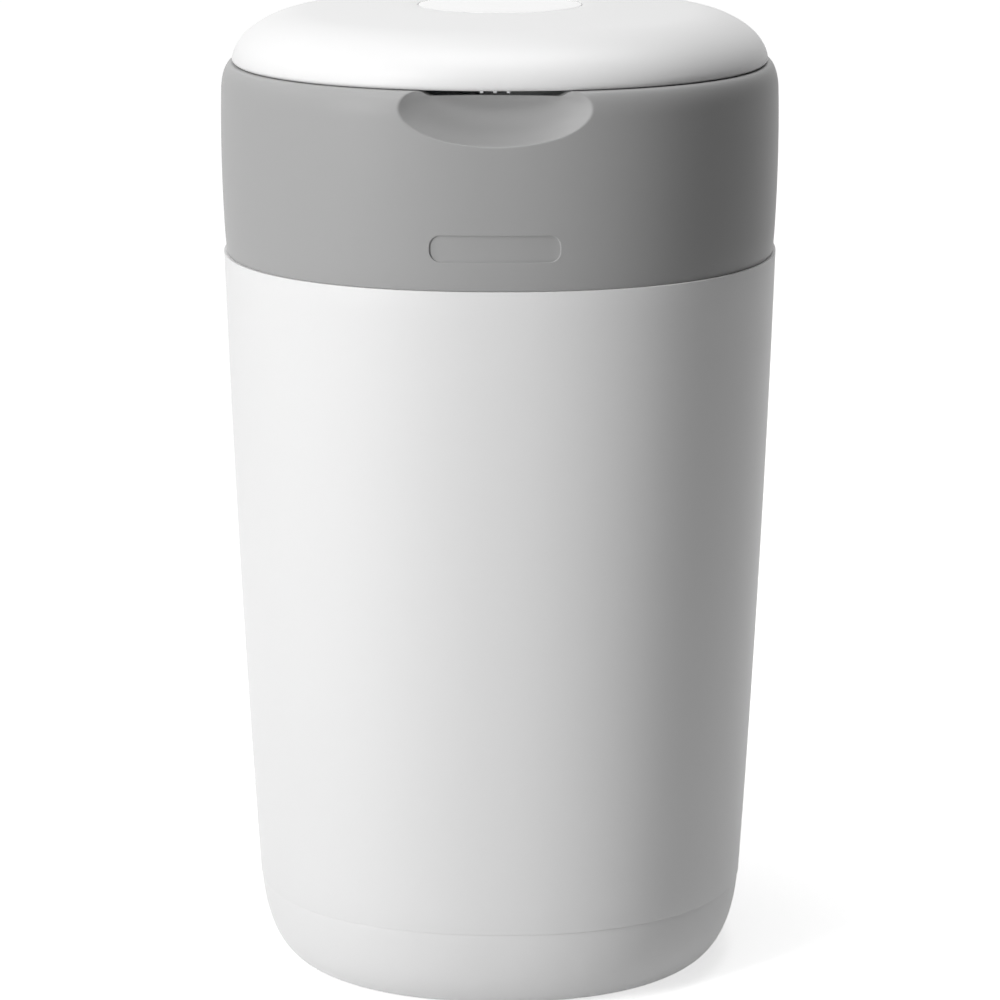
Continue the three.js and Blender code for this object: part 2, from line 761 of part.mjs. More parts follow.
function twistRing() {
  const bandTop = ringFlangeUnder + toothedHeight;
  const innerFlange = ringOuterRadius - ringFlangeWidth;
  const rimTop = ringFlangeTop + ringRimHeight;
  const rimInner = ringRimRadius - ringRimWidth;
  const roundFoot = ringPlateTop - throatRound;
  const throatTop = quarter(throatRadius + throatRound, roundFoot, -throatRound, throatRound, coarseSteps);
  const ring = turned([
    [ringOuterRadius, bandTop],
    [ringOuterRadius, ringFlangeTop],
    [ringRimRadius, ringFlangeTop],
    [ringRimRadius, rimTop - ringRimRound],
    [ringRimRadius - ringRimRound, rimTop],
    [rimInner, rimTop],
    [rimInner - ringRimRound, ringPlateTop + ringSlopeRise],
    [rimInner - ringRimRound - ringSlopeWidth, ringPlateTop],
    ...throatTop.reverse(),
    [throatRadius, throatUnder],
    [throatRadius + throatWall, throatUnder],
    [throatRadius + throatWall, ringPlateUnder - throatRound],
    [throatRadius + throatWall + throatRound, ringPlateUnder],
    [innerFlange, ringPlateUnder],
    [innerFlange, bandTop],
  ]);
  const grips = ringOf(fingerGrip(), gripCount, 180 / gripCount);
  const peg = rod(pegRadius, capTopHeight - pegBite, ringPlateUnder + ringPlateThickness / 2, smallSteps);
  const pegs = ringOf(peg.translate([pegCircleRadius, 0, 0]), gripCount, 180 / gripCount);
  const place = [cutterCircleRadius, 0, 0];
  const well = rod(wellRadius + wellWall, wellUnderHeight, ringPlateTop, roundSteps / 2).translate(place);
  const wellBore = rod(wellRadius, wellFloorTop, rimTop, roundSteps / 2).translate(place);
  const stemRoom = rod(cutterStemRadius + cutterSlideGap, wellUnderHeight - overrun, rimTop, smallSteps);
  return ring
    .add(toothedBand())
    .add(grips)
    .add(pegs)
    .add(well)
    .subtract(wellBore)
    .subtract(stemRoom.translate(place));
}

function cassetteTray() {
  return turned([
    [cassetteBoreRadius, trayUnderHeight],
    [trayOuterRadius, trayUnderHeight],
    [trayOuterRadius, trayOuterTop],
    [trayOuterRadius - cassetteWall, trayOuterTop],
    [trayOuterRadius - cassetteWall, trayUnderHeight + cassetteWall],
    [cassetteBoreRadius + cassetteWall, trayUnderHeight + cassetteWall],
    [cassetteBoreRadius + cassetteWall, trayInnerTop],
    [cassetteBoreRadius, trayInnerTop],
  ]);
}

function cassetteCap() {
  const rimRadius = trayOuterRadius - cassetteWall - fitGap;
  const cap = turned([
    [filmSlotRadius, capUnderHeight],
    [rimRadius - capRimWall, capUnderHeight],
    [rimRadius - capRimWall, capUnderHeight - capRimDrop],
    [rimRadius, capUnderHeight - capRimDrop],
    [rimRadius, capUnderHeight],
    [trayOuterRadius, capUnderHeight],
    [trayOuterRadius, capTopHeight],
    [filmSlotRadius, capTopHeight],
  ]);
  const hole = rod(pegRadius + fitGap, capUnderHeight - overrun, capTopHeight + overrun, smallSteps);
  return cap.subtract(ringOf(hole.translate([pegCircleRadius, 0, 0]), gripCount, 180 / gripCount));
}

function filmPack() {
  const innerRadius = cassetteBoreRadius + cassetteWall + 2 * fitGap + filmSkin;
  const outerRadius = trayOuterRadius - cassetteWall - fitGap;
  const under = trayUnderHeight + cassetteWall + fitGap;
  return turned([
    [innerRadius, under],
    [outerRadius, under],
    [outerRadius, filmTopHeight - filmCorner],
    [outerRadius - filmCorner, filmTopHeight],
    [innerRadius, filmTopHeight],
  ]);
}

function filmLead() {
  const outside = cassetteBoreRadius + cassetteWall + fitGap + 2 * filmSkin;
  const inside = cassetteBoreRadius - fitGap - filmSkin;
  const start = filmTopHeight + fitGap;
  return turned([
    [outside, start],
    [outside, filmLeadTop],
    [inside, filmLeadTop],
    [inside, trayUnderHeight],
    [inside + filmSkin, trayUnderHeight],
    [inside + filmSkin, filmLeadTop - filmSkin],
    [outside - filmSkin, filmLeadTop - filmSkin],
    [outside - filmSkin, start],
  ]);
}

// Film cutter, modelled about its own upright axis; the blade points to the throat, along -X

function cutterButton() {
  const rounding = quarter(
    cutterButtonRadius - cutterButtonRound,
    cutterTopHeight - cutterButtonRound,
    cutterButtonRound,
    cutterButtonRound,
  );
  const armUnder = cutterArmTop - cutterArmThickness;
  const button = turned([
    [0, armUnder],
    [cutterStemRadius, armUnder],
    [cutterStemRadius, cutterButtonUnder],
    [cutterButtonRadius, cutterButtonUnder],
    ...rounding,
    [0, cutterTopHeight],
  ], roundSteps / 2);
  const armReach = -(bladeInnerEnd + bladeWidth / 2);
  const slotEnd = bladeInnerEnd + bladeWidth + fitGap;
  const arm = block([-armReach, -cutterArmWidth / 2, armUnder], [0, cutterArmWidth / 2, cutterArmTop]);
  const slot = block(
    [-armReach - overrun, -bladeThickness / 2 - fitGap, armUnder - overrun],
    [slotEnd, bladeThickness / 2 + fitGap, cutterArmTop + overrun],
  );
  return button.add(arm).subtract(slot);
}

function cutterBlade() {
  return block(
    [bladeInnerEnd, -bladeThickness / 2, bladeUnder],
    [bladeInnerEnd + bladeWidth, bladeThickness / 2, bladeUnder + bladeHeight],
  );
}

// The spring's wire follows a helix between the well's floor and the button
class Helix extends THREE.Curve {
  getPoint(share, target = new THREE.Vector3()) {
    const angle = share * springTurns * 2 * Math.PI;
    const rise = springLength - 2 * springWireRadius;
    const height = wellFloorTop + fitGap + springWireRadius + share * rise;
    return target.set(springRadius * Math.cos(angle), springRadius * Math.sin(angle), height);
  }
}

function cutterSpring() {
  const wire = new THREE.Shape();
  for (let side = 0; side < springWireSides; side += 1) {
    const angle = (side / springWireSides) * 2 * Math.PI;
    const place = [springWireRadius * Math.cos(angle), springWireRadius * Math.sin(angle)];
    if (side === 0) {
      wire.moveTo(...place);
    } else {
      wire.lineTo(...place);
    }
  }
  wire.closePath();
  const steps = springTurns * springTurnSteps;
  return solidOf(new THREE.ExtrudeGeometry(wire, { steps, extrudePath: new Helix() }));
}

// Lid pieces

function lidForm(lowering) {
  const under = lidRimHeight - overrun;
  const dome = lidPoints(collarTopHalfWidth, lidEdgeUp, lowering);
  return turnedSquare([[0, under], [collarTopHalfWidth, under], ...dome]);
}

function lidInnerPoints() {
  return lidPoints(collarTopHalfWidth - lidWall, lidEdgeUp - lidWall, 0, coarseSteps);
}

function lidShell() {
  const shell = turnedSquare([...lidPoints(collarTopHalfWidth, lidEdgeUp, 0), ...lidInnerPoints().reverse()]);
  const disc = rod(inlayRadius + fitGap, lidRimHeight + lidEdgeUp - lidWall, lidTopAt(0) + overrun);
  return shell
    .subtract(disc.subtract(lidForm(inlayRecess)))
    .subtract(middleRoom(lidHinge))
    .add(outerKnuckles(lidHinge))
    .subtract(hingeBore(lidHinge));
}

function lidInlay() {
  const radii = Array.from({ length: coarseSteps + 1 }, (_, i) => inlayRadius * (i / coarseSteps));
  const proudAt = (radius) => inlayProud * (1 - (radius / inlayRadius) ** 4);
  const under = radii.map((radius) => [radius, lidTopAt(radius) - inlayRecess + fitGap]);
  const over = radii.map((radius) => [radius, lidTopAt(radius) + proudAt(radius)]);
  return turned([...under, ...over.reverse()]);
}

function lidLiner() {
  const halfWidth = halfWidthAt(lidInnerPoints(), linerUnderHeight + linerThickness) - fitGap;
  const linerTop = linerUnderHeight + linerThickness;
  const slab = (low) => turnedSquare([[0, low], [halfWidth, low], [halfWidth, linerTop], [0, linerTop]]);
  const frontY = -halfWidth;
  const lipUnder = linerUnderHeight - fingerLipDrop;
  const lip = slab(lipUnder).intersect(block(
    [-fingerLipHalfWidth, frontY - overrun, lipUnder],
    [fingerLipHalfWidth, frontY + fingerLipThickness, linerTop],
  ));
  const backRelief = block(
    [-lidHinge.half - hingeRoom, lidHinge.y - 2 * lidHinge.knuckleRadius, linerUnderHeight - overrun],
    [lidHinge.half + hingeRoom, lidHinge.y + overrun, linerTop + overrun],
  );
  let liner = slab(linerUnderHeight).add(lip).subtract(backRelief);
  for (let rib = 0; rib < gripRibCount; rib += 1) {
    const x = (rib - (gripRibCount - 1) / 2) * gripRibPitch;
    liner = liner.add(block(
      [x - gripRibWidth / 2, frontY - gripRibDepth, lipUnder],
      [x + gripRibWidth / 2, frontY + fingerLipThickness / 2, lidRimHeight - fitGap],
    ));
  }
  return liner;
}

function lidPlug() {
  return turned([
    [0, plugUnderHeight],
    [plugRadius, plugUnderHeight],
    [plugRadius, plugTopHeight],
    [plugRadius - plugWall, plugTopHeight],
    [plugRadius - plugWall, plugUnderHeight + plugWall],
    [0, plugUnderHeight + plugWall],
  ]);
}

function lidSeal() {
  const innerRadius = sealOuterRadius - sealWidth;
  const under = ringPlateTop + fitGap;
  return turned([
    [innerRadius, under + sealLipHeight],
    [innerRadius, sealTopHeight],
    [sealOuterRadius, sealTopHeight],
    [sealOuterRadius, under],
    [sealOuterRadius - sealLipWidth, under],
    [sealOuterRadius - sealLipWidth - sealLipHeight, under + sealLipHeight],
  ]);
}

function hingePin(hinge) {
  return rod(hinge.pinRadius, -hinge.half, hinge.half, smallSteps);
}

// Finishes: colour, roughness and metalness of each sort of piece
const finishes = {
  whiteCasing: [0xe9e9e8, 0.42, 0],
  greyCasing: [0xb9babb, 0.4, 0],
  glossWhite: [0xf4f4f4, 0.15, 0],
  innerWhite: [0xdfe0e0, 0.5, 0],
  darkRubber: [0x3a3c3e, 0.8, 0],
  paleRubber: [0xb8bcc0, 0.75, 0],
  film: [0xb9cfe4, 0.3, 0],
  cassettePlastic: [0xcfd6dc, 0.45, 0],
  button: [0x5f9ea8, 0.4, 0],
  steel: [0xb5b8bb, 0.28, 1],
};

function piece(name, solid, finish) {
  const [color, roughness, metalness] = finishes[finish];
  const material = new THREE.MeshStandardMaterial({ color, roughness, metalness });
  const mesh = new THREE.Mesh(geometryOf(solid), material);
  mesh.name = name;
  return mesh;
}

function pinPiece(name, hinge) {
  const pin = piece(name, hingePin(hinge), 'steel');
  pin.rotation.y = Math.PI / 2;
  pin.position.set(0, hinge.y, hinge.z);
  return pin;
}

// Assembly

const tub = new THREE.Group();
tub.add(piece('tub_shell', tubShell(), 'whiteCasing'));
tub.add(piece('base_shell', baseShell(), 'whiteCasing'));
tub.add(pinPiece('head_hinge_pin', headHinge));

const cutter = new THREE.Group();
cutter.add(piece('cutter_button', cutterButton(), 'button'));
cutter.add(piece('cutter_blade', cutterBlade(), 'steel'));
cutter.add(piece('cutter_spring', cutterSpring(), 'steel'));
cutter.position.x = cutterCircleRadius;

const ring = new THREE.Group();
ring.add(piece('twist_ring', twistRing(), 'innerWhite'));
ring.add(piece('cassette_tray', cassetteTray(), 'cassettePlastic'));
ring.add(piece('cassette_cap', cassetteCap(), 'cassettePlastic'));
ring.add(piece('film_pack', filmPack(), 'film'));
ring.add(piece('film_lead', filmLead(), 'film'));
ring.add(cutter);

const lid = new THREE.Group();
lid.add(piece('lid_shell', lidShell(), 'whiteCasing'));
lid.add(piece('lid_inlay', lidInlay(), 'glossWhite'));
lid.add(piece('lid_liner', lidLiner(), 'innerWhite'));
lid.add(piece('lid_plug', lidPlug(), 'innerWhite'));
lid.add(piece('lid_seal', lidSeal(), 'paleRubber'));

const head = new THREE.Group();
head.add(piece('collar_shell', collarShell(), 'greyCasing'));
head.add(piece('head_deck', headDeck(), 'innerWhite'));
head.add(piece('cassette_cup', cassetteCup(), 'innerWhite'));
head.add(piece('grip_diaphragm', gripDiaphragm(), 'darkRubber'));
head.add(piece('diaphragm_clamp', diaphragmClamp(), 'innerWhite'));
head.add(piece('click_pawl', clickPawl(), 'innerWhite'));
head.add(pinPiece('lid_hinge_pin', lidHinge));
for (let i = 0; i < screwCount; i += 1) {
  const angle = ((i + 1 / 2) / screwCount) * 2 * Math.PI;
  const screw = piece(`deck_screw_${i + 1}`, deckScrew(), 'steel');
  screw.position.set(screwCircleRadius * Math.cos(angle), screwCircleRadius * Math.sin(angle), 0);
  head.add(screw);
}
head.add(ring, lid);

const bin = new THREE.Group();
bin.add(tub, head);

export default bin;
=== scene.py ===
"""Nappy bin with a film cassette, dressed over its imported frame.

Metres, +Z up, and the front faces -Y. The casings, the lid and the works in the head are modelled here
more finely than the frame's solids, in the same places. Each gets its finish, and a plain studio stands
round them.
"""

import math

import bmesh
import bpy
from bpy.props import FloatProperty, FloatVectorProperty, IntProperty, PointerProperty
from mathutils import Matrix, Vector


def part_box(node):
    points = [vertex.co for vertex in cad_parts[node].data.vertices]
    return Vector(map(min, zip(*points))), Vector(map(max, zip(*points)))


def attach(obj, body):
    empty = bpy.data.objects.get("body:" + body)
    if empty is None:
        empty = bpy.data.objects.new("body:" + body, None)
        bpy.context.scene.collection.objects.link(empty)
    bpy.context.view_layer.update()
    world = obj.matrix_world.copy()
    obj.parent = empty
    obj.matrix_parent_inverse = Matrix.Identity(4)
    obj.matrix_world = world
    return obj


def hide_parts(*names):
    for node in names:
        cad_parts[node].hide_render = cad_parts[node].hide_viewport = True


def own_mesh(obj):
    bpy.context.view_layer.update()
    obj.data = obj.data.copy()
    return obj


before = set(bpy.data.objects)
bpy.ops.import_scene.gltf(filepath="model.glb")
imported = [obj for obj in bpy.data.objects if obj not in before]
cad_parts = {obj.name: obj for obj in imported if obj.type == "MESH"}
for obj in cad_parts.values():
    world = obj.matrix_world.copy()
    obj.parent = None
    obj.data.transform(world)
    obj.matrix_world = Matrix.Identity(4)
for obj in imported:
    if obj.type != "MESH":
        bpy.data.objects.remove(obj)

bl_info = {
    "name": "Nappy Bin",
    "version": (1, 0, 0),
    "blender": (4, 5, 0),
    "location": "View3D > Sidebar > Nappy Bin",
    "description": "Builds a nappy bin with a film cassette round its packed frame",
    "category": "Object",
}

# Fits and fineness shared by all pieces
FIT_GAP = 0.0003
SEAM_GAP = 0.0001
HINGE_ROOM = 0.0006
OVERRUN = 0.005
WELD = 0.000002
SHARP_TURN = math.radians(24)
SHARP_EDGE = math.radians(42)
GAP_RAMP = math.radians(9)
ROUND_STEPS = 3
ROUND_ROOM = 0.45
CURVE_STEPS = 6
CORNER_STEPS = 28
CASING_COLUMNS = 256
ROUND_COLUMNS = 144
SMALL_COLUMNS = 48
ROUND_PLAN = 2.0
PLATE_WALL = 0.0026
OUTWARDS = (0, 0.25, 0.5, 0.75, 1)

# Heights along the bin: the seams under the head and under the lid, and what follows from them and the frame
SPLIT_Z = 0.342
LID_SEAM_Z = 0.430
SHOULDER_DROP = 0.013
BAND_RISE = 0.0095
BASE_SEAM_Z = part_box("base_shell")[1].z
TUB_FOOT_Z = BASE_SEAM_Z + SEAM_GAP / 2
TUB_RIM_Z = SPLIT_Z - SEAM_GAP
COLLAR_BAND_Z = SPLIT_Z + BAND_RISE
COLLAR_TOP_Z = LID_SEAM_Z - SEAM_GAP
SHOULDER_Z = LID_SEAM_Z - SHOULDER_DROP
LID_RIM_Z = LID_SEAM_Z + SEAM_GAP
DECK_TOP_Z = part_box("head_deck")[1].z

# Half widths of the casings
SHOULDER_STEP = 0.0003
BAND_STEP = 0.0009
FOOT_STEP = 0.0007
BULGE = 0.0009
TUB_RIM_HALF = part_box("tub_shell")[1].x
BASE_RIM_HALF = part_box("base_shell")[1].x
LID_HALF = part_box("lid_shell")[1].x
SHOULDER_HALF = TUB_RIM_HALF + SHOULDER_STEP
COLLAR_BAND_HALF = SHOULDER_HALF - BAND_STEP
COLLAR_FOOT_HALF = COLLAR_BAND_HALF - FOOT_STEP
COLLAR_BULGE_HALF = SHOULDER_HALF + BULGE


def arithmetic(operation, flipped=False):
    """A method of Value: a Math node on the value and another one, or the other way round."""
    def method(self, other):
        return self.nodes.math(operation, *((other, self) if flipped else (self, other)))
    return method


class Value:
    """A number on a node's socket. Arithmetic on it adds Math nodes to the same tree."""

    def __init__(self, nodes, socket):
        self.nodes = nodes
        self.socket = socket

    __add__ = __radd__ = arithmetic("ADD")
    __mul__ = __rmul__ = arithmetic("MULTIPLY")
    __sub__ = arithmetic("SUBTRACT")
    __rsub__ = arithmetic("SUBTRACT", flipped=True)
    __truediv__ = arithmetic("DIVIDE")
    __rtruediv__ = arithmetic("DIVIDE", flipped=True)
    __pow__ = arithmetic("POWER")
    __mod__ = arithmetic("MODULO")


class Made:
    """A node that was made: its outputs by name or number."""

    def __init__(self, nodes, node):
        self.nodes = nodes
        self.node = node

    def __getitem__(self, name):
        return Value(self.nodes, self.node.outputs[name])


class Nodes:
    """Adds nodes to a tree. What goes into a socket is a plain value or the output of another node."""

    def __init__(self, tree):
        self.tree = tree

    def add(self, kind, inputs=None, **settings):
        node = self.tree.nodes.new(kind)
        for name, value in settings.items():
            setattr(node, name, value)
        for name, value in (inputs or {}).items():
            if isinstance(value, Value):
                self.tree.links.new(value.socket, node.inputs[name])
            else:
                node.inputs[name].default_value = value
        return Made(self, node)

    def math(self, operation, *values):
        return self.add("ShaderNodeMath", dict(enumerate(values)), operation=operation)[0]

    def vector(self, x=0.0, y=0.0, z=0.0):
        return self.add("ShaderNodeCombineXYZ", {"X": x, "Y": y, "Z": z})["Vector"]

    def parts(self, vector):
        return self.add("ShaderNodeSeparateXYZ", {0: vector})

    def put(self, geometry, position):
        return self.add("GeometryNodeSetPosition", {"Geometry": geometry, "Position": position})["Geometry"]

    def noise(self, place, scale, detail):
        return self.add("ShaderNodeTexNoise", {"Vector": place, "Scale": scale, "Detail": detail})[0]

    def cells(self, place, scale, **settings):
        return self.add("ShaderNodeTexVoronoi", {"Vector": place, "Scale": scale}, **settings)[0]

    def mixed(self, share, one, other):
        """A colour between two, by a share that varies over the surface."""
        return self.add("ShaderNodeMix", {0: share, 6: one, 7: other}, data_type="RGBA")[2]

    def bump(self, height, strength, depth):
        inputs = {"Strength": strength, "Distance": depth, "Height": height}
        return self.add("ShaderNodeBump", inputs)["Normal"]


# Sections: lists of (half width, height, squareness of the plan) points

def section(points, squareness=ROUND_PLAN):
    return [Vector((*point, squareness)) for point in points]


def quarter(centre, reach, rise, squareness, steps):
    """Points of a quarter ellipse from beside its centre to above it, or to below it for a negative rise."""
    angles = [math.pi / 2 * step / steps for step in range(steps + 1)]
    points = [(centre[0] + reach * math.cos(angle), centre[1] + rise * math.sin(angle)) for angle in angles]
    return section(points, squareness)


def bezier(start, control, end, steps):
    """Points along a quadratic curve between two section points."""
    shares = [step / steps for step in range(steps + 1)]
    return [start.lerp(control, share).lerp(control.lerp(end, share), share) for share in shares]


def rounded(points, radius, closed=True):
    """The section with every sharp corner rounded."""
    result = []
    for number, corner in enumerate(points):
        before = corner - points[number - 1]
        after = points[(number + 1) % len(points)] - corner
        turn = before.xy.angle(after.xy, 0)
        at_end = not closed and number in (0, len(points) - 1)
        if at_end or turn < SHARP_TURN:
            result.append(corner)
            continue
        room = ROUND_ROOM * min(before.xy.length, after.xy.length)
        cut = min(radius * math.tan(turn / 2), room)
        start = corner - before * (cut / before.xy.length)
        end = corner + after * (cut / after.xy.length)
        result += bezier(start, corner, end, ROUND_STEPS)
    return result


def smooth(share):
    """A share that starts and stops gently."""
    return share * share * (3 - 2 * share)


# Meshes

def mesh_of(shape, name):
    """A new mesh from an edited one, which is freed."""
    mesh = bpy.data.meshes.new(name)
    shape.to_mesh(mesh)
    shape.free()
    return mesh


def linked(name, data):
    """A new object in the scene."""
    thing = bpy.data.objects.new(name, data)
    bpy.context.scene.collection.objects.link(thing)
    return thing


def baked(carrier):
    """The carrier's evaluated mesh as a plain one. The carrier is removed."""
    bpy.context.view_layer.update()
    evaluated = carrier.evaluated_get(bpy.context.evaluated_depsgraph_get())
    mesh = bpy.data.meshes.new_from_object(evaluated)
    bpy.data.objects.remove(carrier)
    return mesh


def tidied(mesh):
    """Welds a closed mesh and turns its faces outwards."""
    shape = bmesh.new()
    shape.from_mesh(mesh)
    bmesh.ops.remove_doubles(shape, verts=shape.verts, dist=WELD)
    bmesh.ops.dissolve_degenerate(shape, edges=shape.edges, dist=WELD)
    bmesh.ops.recalc_face_normals(shape, faces=shape.faces)
    shape.to_mesh(mesh)
    shape.free()
    return mesh


def moved(mesh, matrix):
    mesh.transform(matrix)
    return tidied(mesh)


def sideways(mesh, x):
    """A part made on the Z axis, moved along X to where it stands."""
    return moved(mesh, Matrix.Translation((x, 0, 0)))


def joined(*meshes):
    """Several meshes as one, each left as it is."""
    shape = bmesh.new()
    for mesh in meshes:
        shape.from_mesh(mesh)
    return mesh_of(shape, "joined")


def carved(mesh, *steps):
    """The mesh after steps such as ("DIFFERENCE", tool), taken in order."""
    carrier = linked("tool", mesh)
    tools = []
    for operation, tool in steps:
        tools.append(linked("tool", tool))
        modifier = carrier.modifiers.new(operation, "BOOLEAN")
        modifier.operation = operation
        modifier.solver = "EXACT"
        modifier.object = tools[-1]
    result = baked(carrier)
    for tool in tools:
        bpy.data.objects.remove(tool)
    return result


class Skin:
    """Points and faces gathered into one mesh."""

    def __init__(self):
        self.points = []
        self.faces = []

    def loop(self, points):
        first = len(self.points)
        self.points.extend(points)
        return list(range(first, len(self.points)))

    def strip(self, one, other, closed=False):
        """Faces between two loops of as many points."""
        for here in range(len(one) if closed else len(one) - 1):
            there = (here + 1) % len(one)
            self.faces.append((one[here], one[there], other[there], other[here]))

    def strips(self, loops, closed=False):
        for one, other in zip(loops, loops[1:]):
            self.strip(one, other, closed)

    def column(self, loops):
        """A closed body through loops that stand over each other."""
        self.strips(loops, closed=True)
        self.faces += [tuple(loops[0]), tuple(loops[-1])]
        return self.mesh()

    def mesh(self):
        mesh = bpy.data.meshes.new("skin")
        mesh.from_pydata(self.points, [], self.faces)
        return tidied(mesh)


def box_mesh(low, high, edge=0.0):
    """A block between two corners, with bevelled edges where an edge width is given."""
    shape = bmesh.new()
    bmesh.ops.create_cube(shape, size=1)
    low, high = Vector(low), Vector(high)
    bmesh.ops.scale(shape, vec=high - low, verts=shape.verts)
    bmesh.ops.translate(shape, vec=(high + low) / 2, verts=shape.verts)
    if edge:
        rounding = {"offset": edge, "segments": ROUND_STEPS, "profile": 0.5, "affect": "EDGES"}
        bmesh.ops.bevel(shape, geom=shape.edges, **rounding)
    return mesh_of(shape, "block")


def pad_mesh(along, across, corner, low, high, edge):
    """An upright pad with round corners and a rounded top, centred on the Z axis."""
    skin = Skin()
    top = quarter((0, 0), 1, 1, 0, ROUND_STEPS)
    levels = [(0.0, low), (0.0, high - edge)]
    levels += [(edge * (1 - arc.x), high - edge + edge * arc.y) for arc in top]
    loops = []
    for inset, height in levels:
        points = []
        for side in range(4):
            middle = (side + 0.5) * math.pi / 2
            x = math.copysign(along / 2 - corner, math.cos(middle))
            y = math.copysign(across / 2 - corner, math.sin(middle))
            for step in range(2 * ROUND_STEPS + 1):
                angle = (side + step / (2 * ROUND_STEPS)) * math.pi / 2
                reach = corner - inset
                points.append((x + math.cos(angle) * reach, y + math.sin(angle) * reach, height))
        loops.append(skin.loop(points))
    return skin.column(loops)


# Geometry node trees

def new_tree(name, **inputs):
    """A geometry tree with named inputs, and its group input node."""
    tree = bpy.data.node_groups.new(name, "GeometryNodeTree")
    for label, kind in {**inputs, "Material": "Material"}.items():
        tree.interface.new_socket(label.replace("_", " "), in_out="INPUT", socket_type=f"NodeSocket{kind}")
    tree.interface.new_socket("Geometry", in_out="OUTPUT", socket_type="NodeSocketGeometry")
    nodes = Nodes(tree)
    return nodes, nodes.add("NodeGroupInput")


def close_tree(nodes, geometry, material):
    """Ends a tree in Realize Instances and Set Material."""
    whole = nodes.add("GeometryNodeRealizeInstances", {"Geometry": geometry})["Geometry"]
    dressed = nodes.add("GeometryNodeSetMaterial", {"Geometry": whole, "Material": material})
    nodes.add("NodeGroupOutput", {"Geometry": dressed["Geometry"]})
    return nodes.tree


def turned_tree():
    """Turns a section about Z. A point's X is its half width, its Y the squareness and its Z the height."""
    nodes, inlet = new_tree("Turned Section", Section="Geometry", Columns="Int")
    count = nodes.add("GeometryNodeAttributeDomainSize", {"Geometry": inlet["Section"]}, component="MESH")
    lines = inlet["Columns"] + 1
    sizes = {"Size X": 1.0, "Size Y": 1.0, "Vertices X": count["Point Count"], "Vertices Y": lines}
    sheet = nodes.add("GeometryNodeMeshGrid", sizes)
    index = nodes.add("GeometryNodeInputIndex")["Index"]
    row = nodes.math("FLOOR", (index + 0.5) / lines)
    angle = (index % lines) * (2 * math.pi) / inlet["Columns"]
    place = nodes.add("GeometryNodeInputPosition")["Position"]
    source = {"Geometry": inlet["Section"], "Value": place, "Index": row}
    sampled = nodes.add("GeometryNodeSampleIndex", source, data_type="FLOAT_VECTOR", domain="POINT")
    point = nodes.parts(sampled["Value"])
    across = nodes.math("COSINE", angle)
    along = nodes.math("SINE", angle)
    squareness = point["Y"]
    span = nodes.math("ABSOLUTE", across) ** squareness + nodes.math("ABSOLUTE", along) ** squareness
    reach = point["X"] * span ** (-1 / squareness)
    shaped = nodes.put(sheet["Mesh"], nodes.vector(reach * across, reach * along, point["Z"]))
    welded = nodes.add("GeometryNodeMergeByDistance", {"Geometry": shaped, "Distance": WELD})
    return close_tree(nodes, welded["Geometry"], inlet["Material"])


def repeat_tree():
    """Copies of a part, each turned about Z from the last and moved on by a step, centred as a row."""
    inputs = {"Part": "Object", "Count": "Int", "First_Turn": "Float", "Turn": "Float", "Step": "Float"}
    nodes, inlet = new_tree("Repeated Part", **inputs)
    points = nodes.add("GeometryNodePoints", {"Count": inlet["Count"]})[0]
    index = nodes.add("GeometryNodeInputIndex")["Index"]
    along = (index - (inlet["Count"] - 1) / 2) * inlet["Step"]
    row = nodes.put(points, nodes.vector(x=along))
    turn = nodes.vector(z=inlet["First Turn"] + index * inlet["Turn"])
    part = nodes.add("GeometryNodeObjectInfo", {"Object": inlet["Part"]}, transform_space="ORIGINAL")
    places = {"Points": row, "Instance": part["Geometry"], "Rotation": turn}
    copies = nodes.add("GeometryNodeInstanceOnPoints", places)
    return close_tree(nodes, copies["Instances"], inlet["Material"])


def spring_tree():
    """A wire wound about Z, standing on the origin."""
    nodes, inlet = new_tree("Wound Spring", Turns="Float", Radius="Float", Height="Float", Wire="Float")
    winding = {
        "Resolution": 32,
        "Rotations": inlet["Turns"],
        "Start Radius": inlet["Radius"],
        "End Radius": inlet["Radius"],
        "Height": inlet["Height"],
    }
    coil = nodes.add("GeometryNodeCurveSpiral", winding)["Curve"]
    wire = nodes.add("GeometryNodeCurvePrimitiveCircle", {"Resolution": 12, "Radius": inlet["Wire"]})["Curve"]
    solid = nodes.add("GeometryNodeCurveToMesh", {"Curve": coil, "Profile Curve": wire, "Fill Caps": True})
    return close_tree(nodes, solid["Mesh"], inlet["Material"])


def pleat_tree():
    """Draws a turned wall in towards the axis in pleats that wander a little with height."""
    nodes, inlet = new_tree("Pleated Film", Film="Geometry", Pleats="Int", Depth="Float")
    place = nodes.add("GeometryNodeInputPosition")["Position"]
    spot = nodes.parts(place)
    drift = nodes.noise(place, scale=60.0, detail=2.0)
    angle = nodes.math("ARCTAN2", spot["Y"], spot["X"])
    wander, least = 5.0, 0.4
    wave = nodes.math("SINE", angle * inlet["Pleats"] + drift * wander) * 0.5 + 0.5
    shrink = inlet["Depth"] * wave * (least + drift)
    radius = (spot["X"] ** 2 + spot["Y"] ** 2) ** 0.5
    share = 1 - shrink / radius
    folded = nodes.put(inlet["Film"], nodes.vector(spot["X"] * share, spot["Y"] * share, spot["Z"]))
    return close_tree(nodes, folded, inlet["Material"])


TREES = {
    "Turned Section": turned_tree,
    "Repeated Part": repeat_tree,
    "Wound Spring": spring_tree,
    "Pleated Film": pleat_tree,
}


def grown(mesh, tree_name, values):
    """The mesh that a tree makes, with its inputs set by their identifiers."""
    tree = bpy.data.node_groups.get(tree_name) or TREES[tree_name]()
    carrier = linked("tool", mesh)
    modifier = carrier.modifiers.new(tree_name, "NODES")
    modifier.node_group = tree
    for item in tree.interface.items_tree:
        if item.in_out == "INPUT" and item.name in values:
            modifier[item.identifier] = values[item.name]
    return baked(carrier)


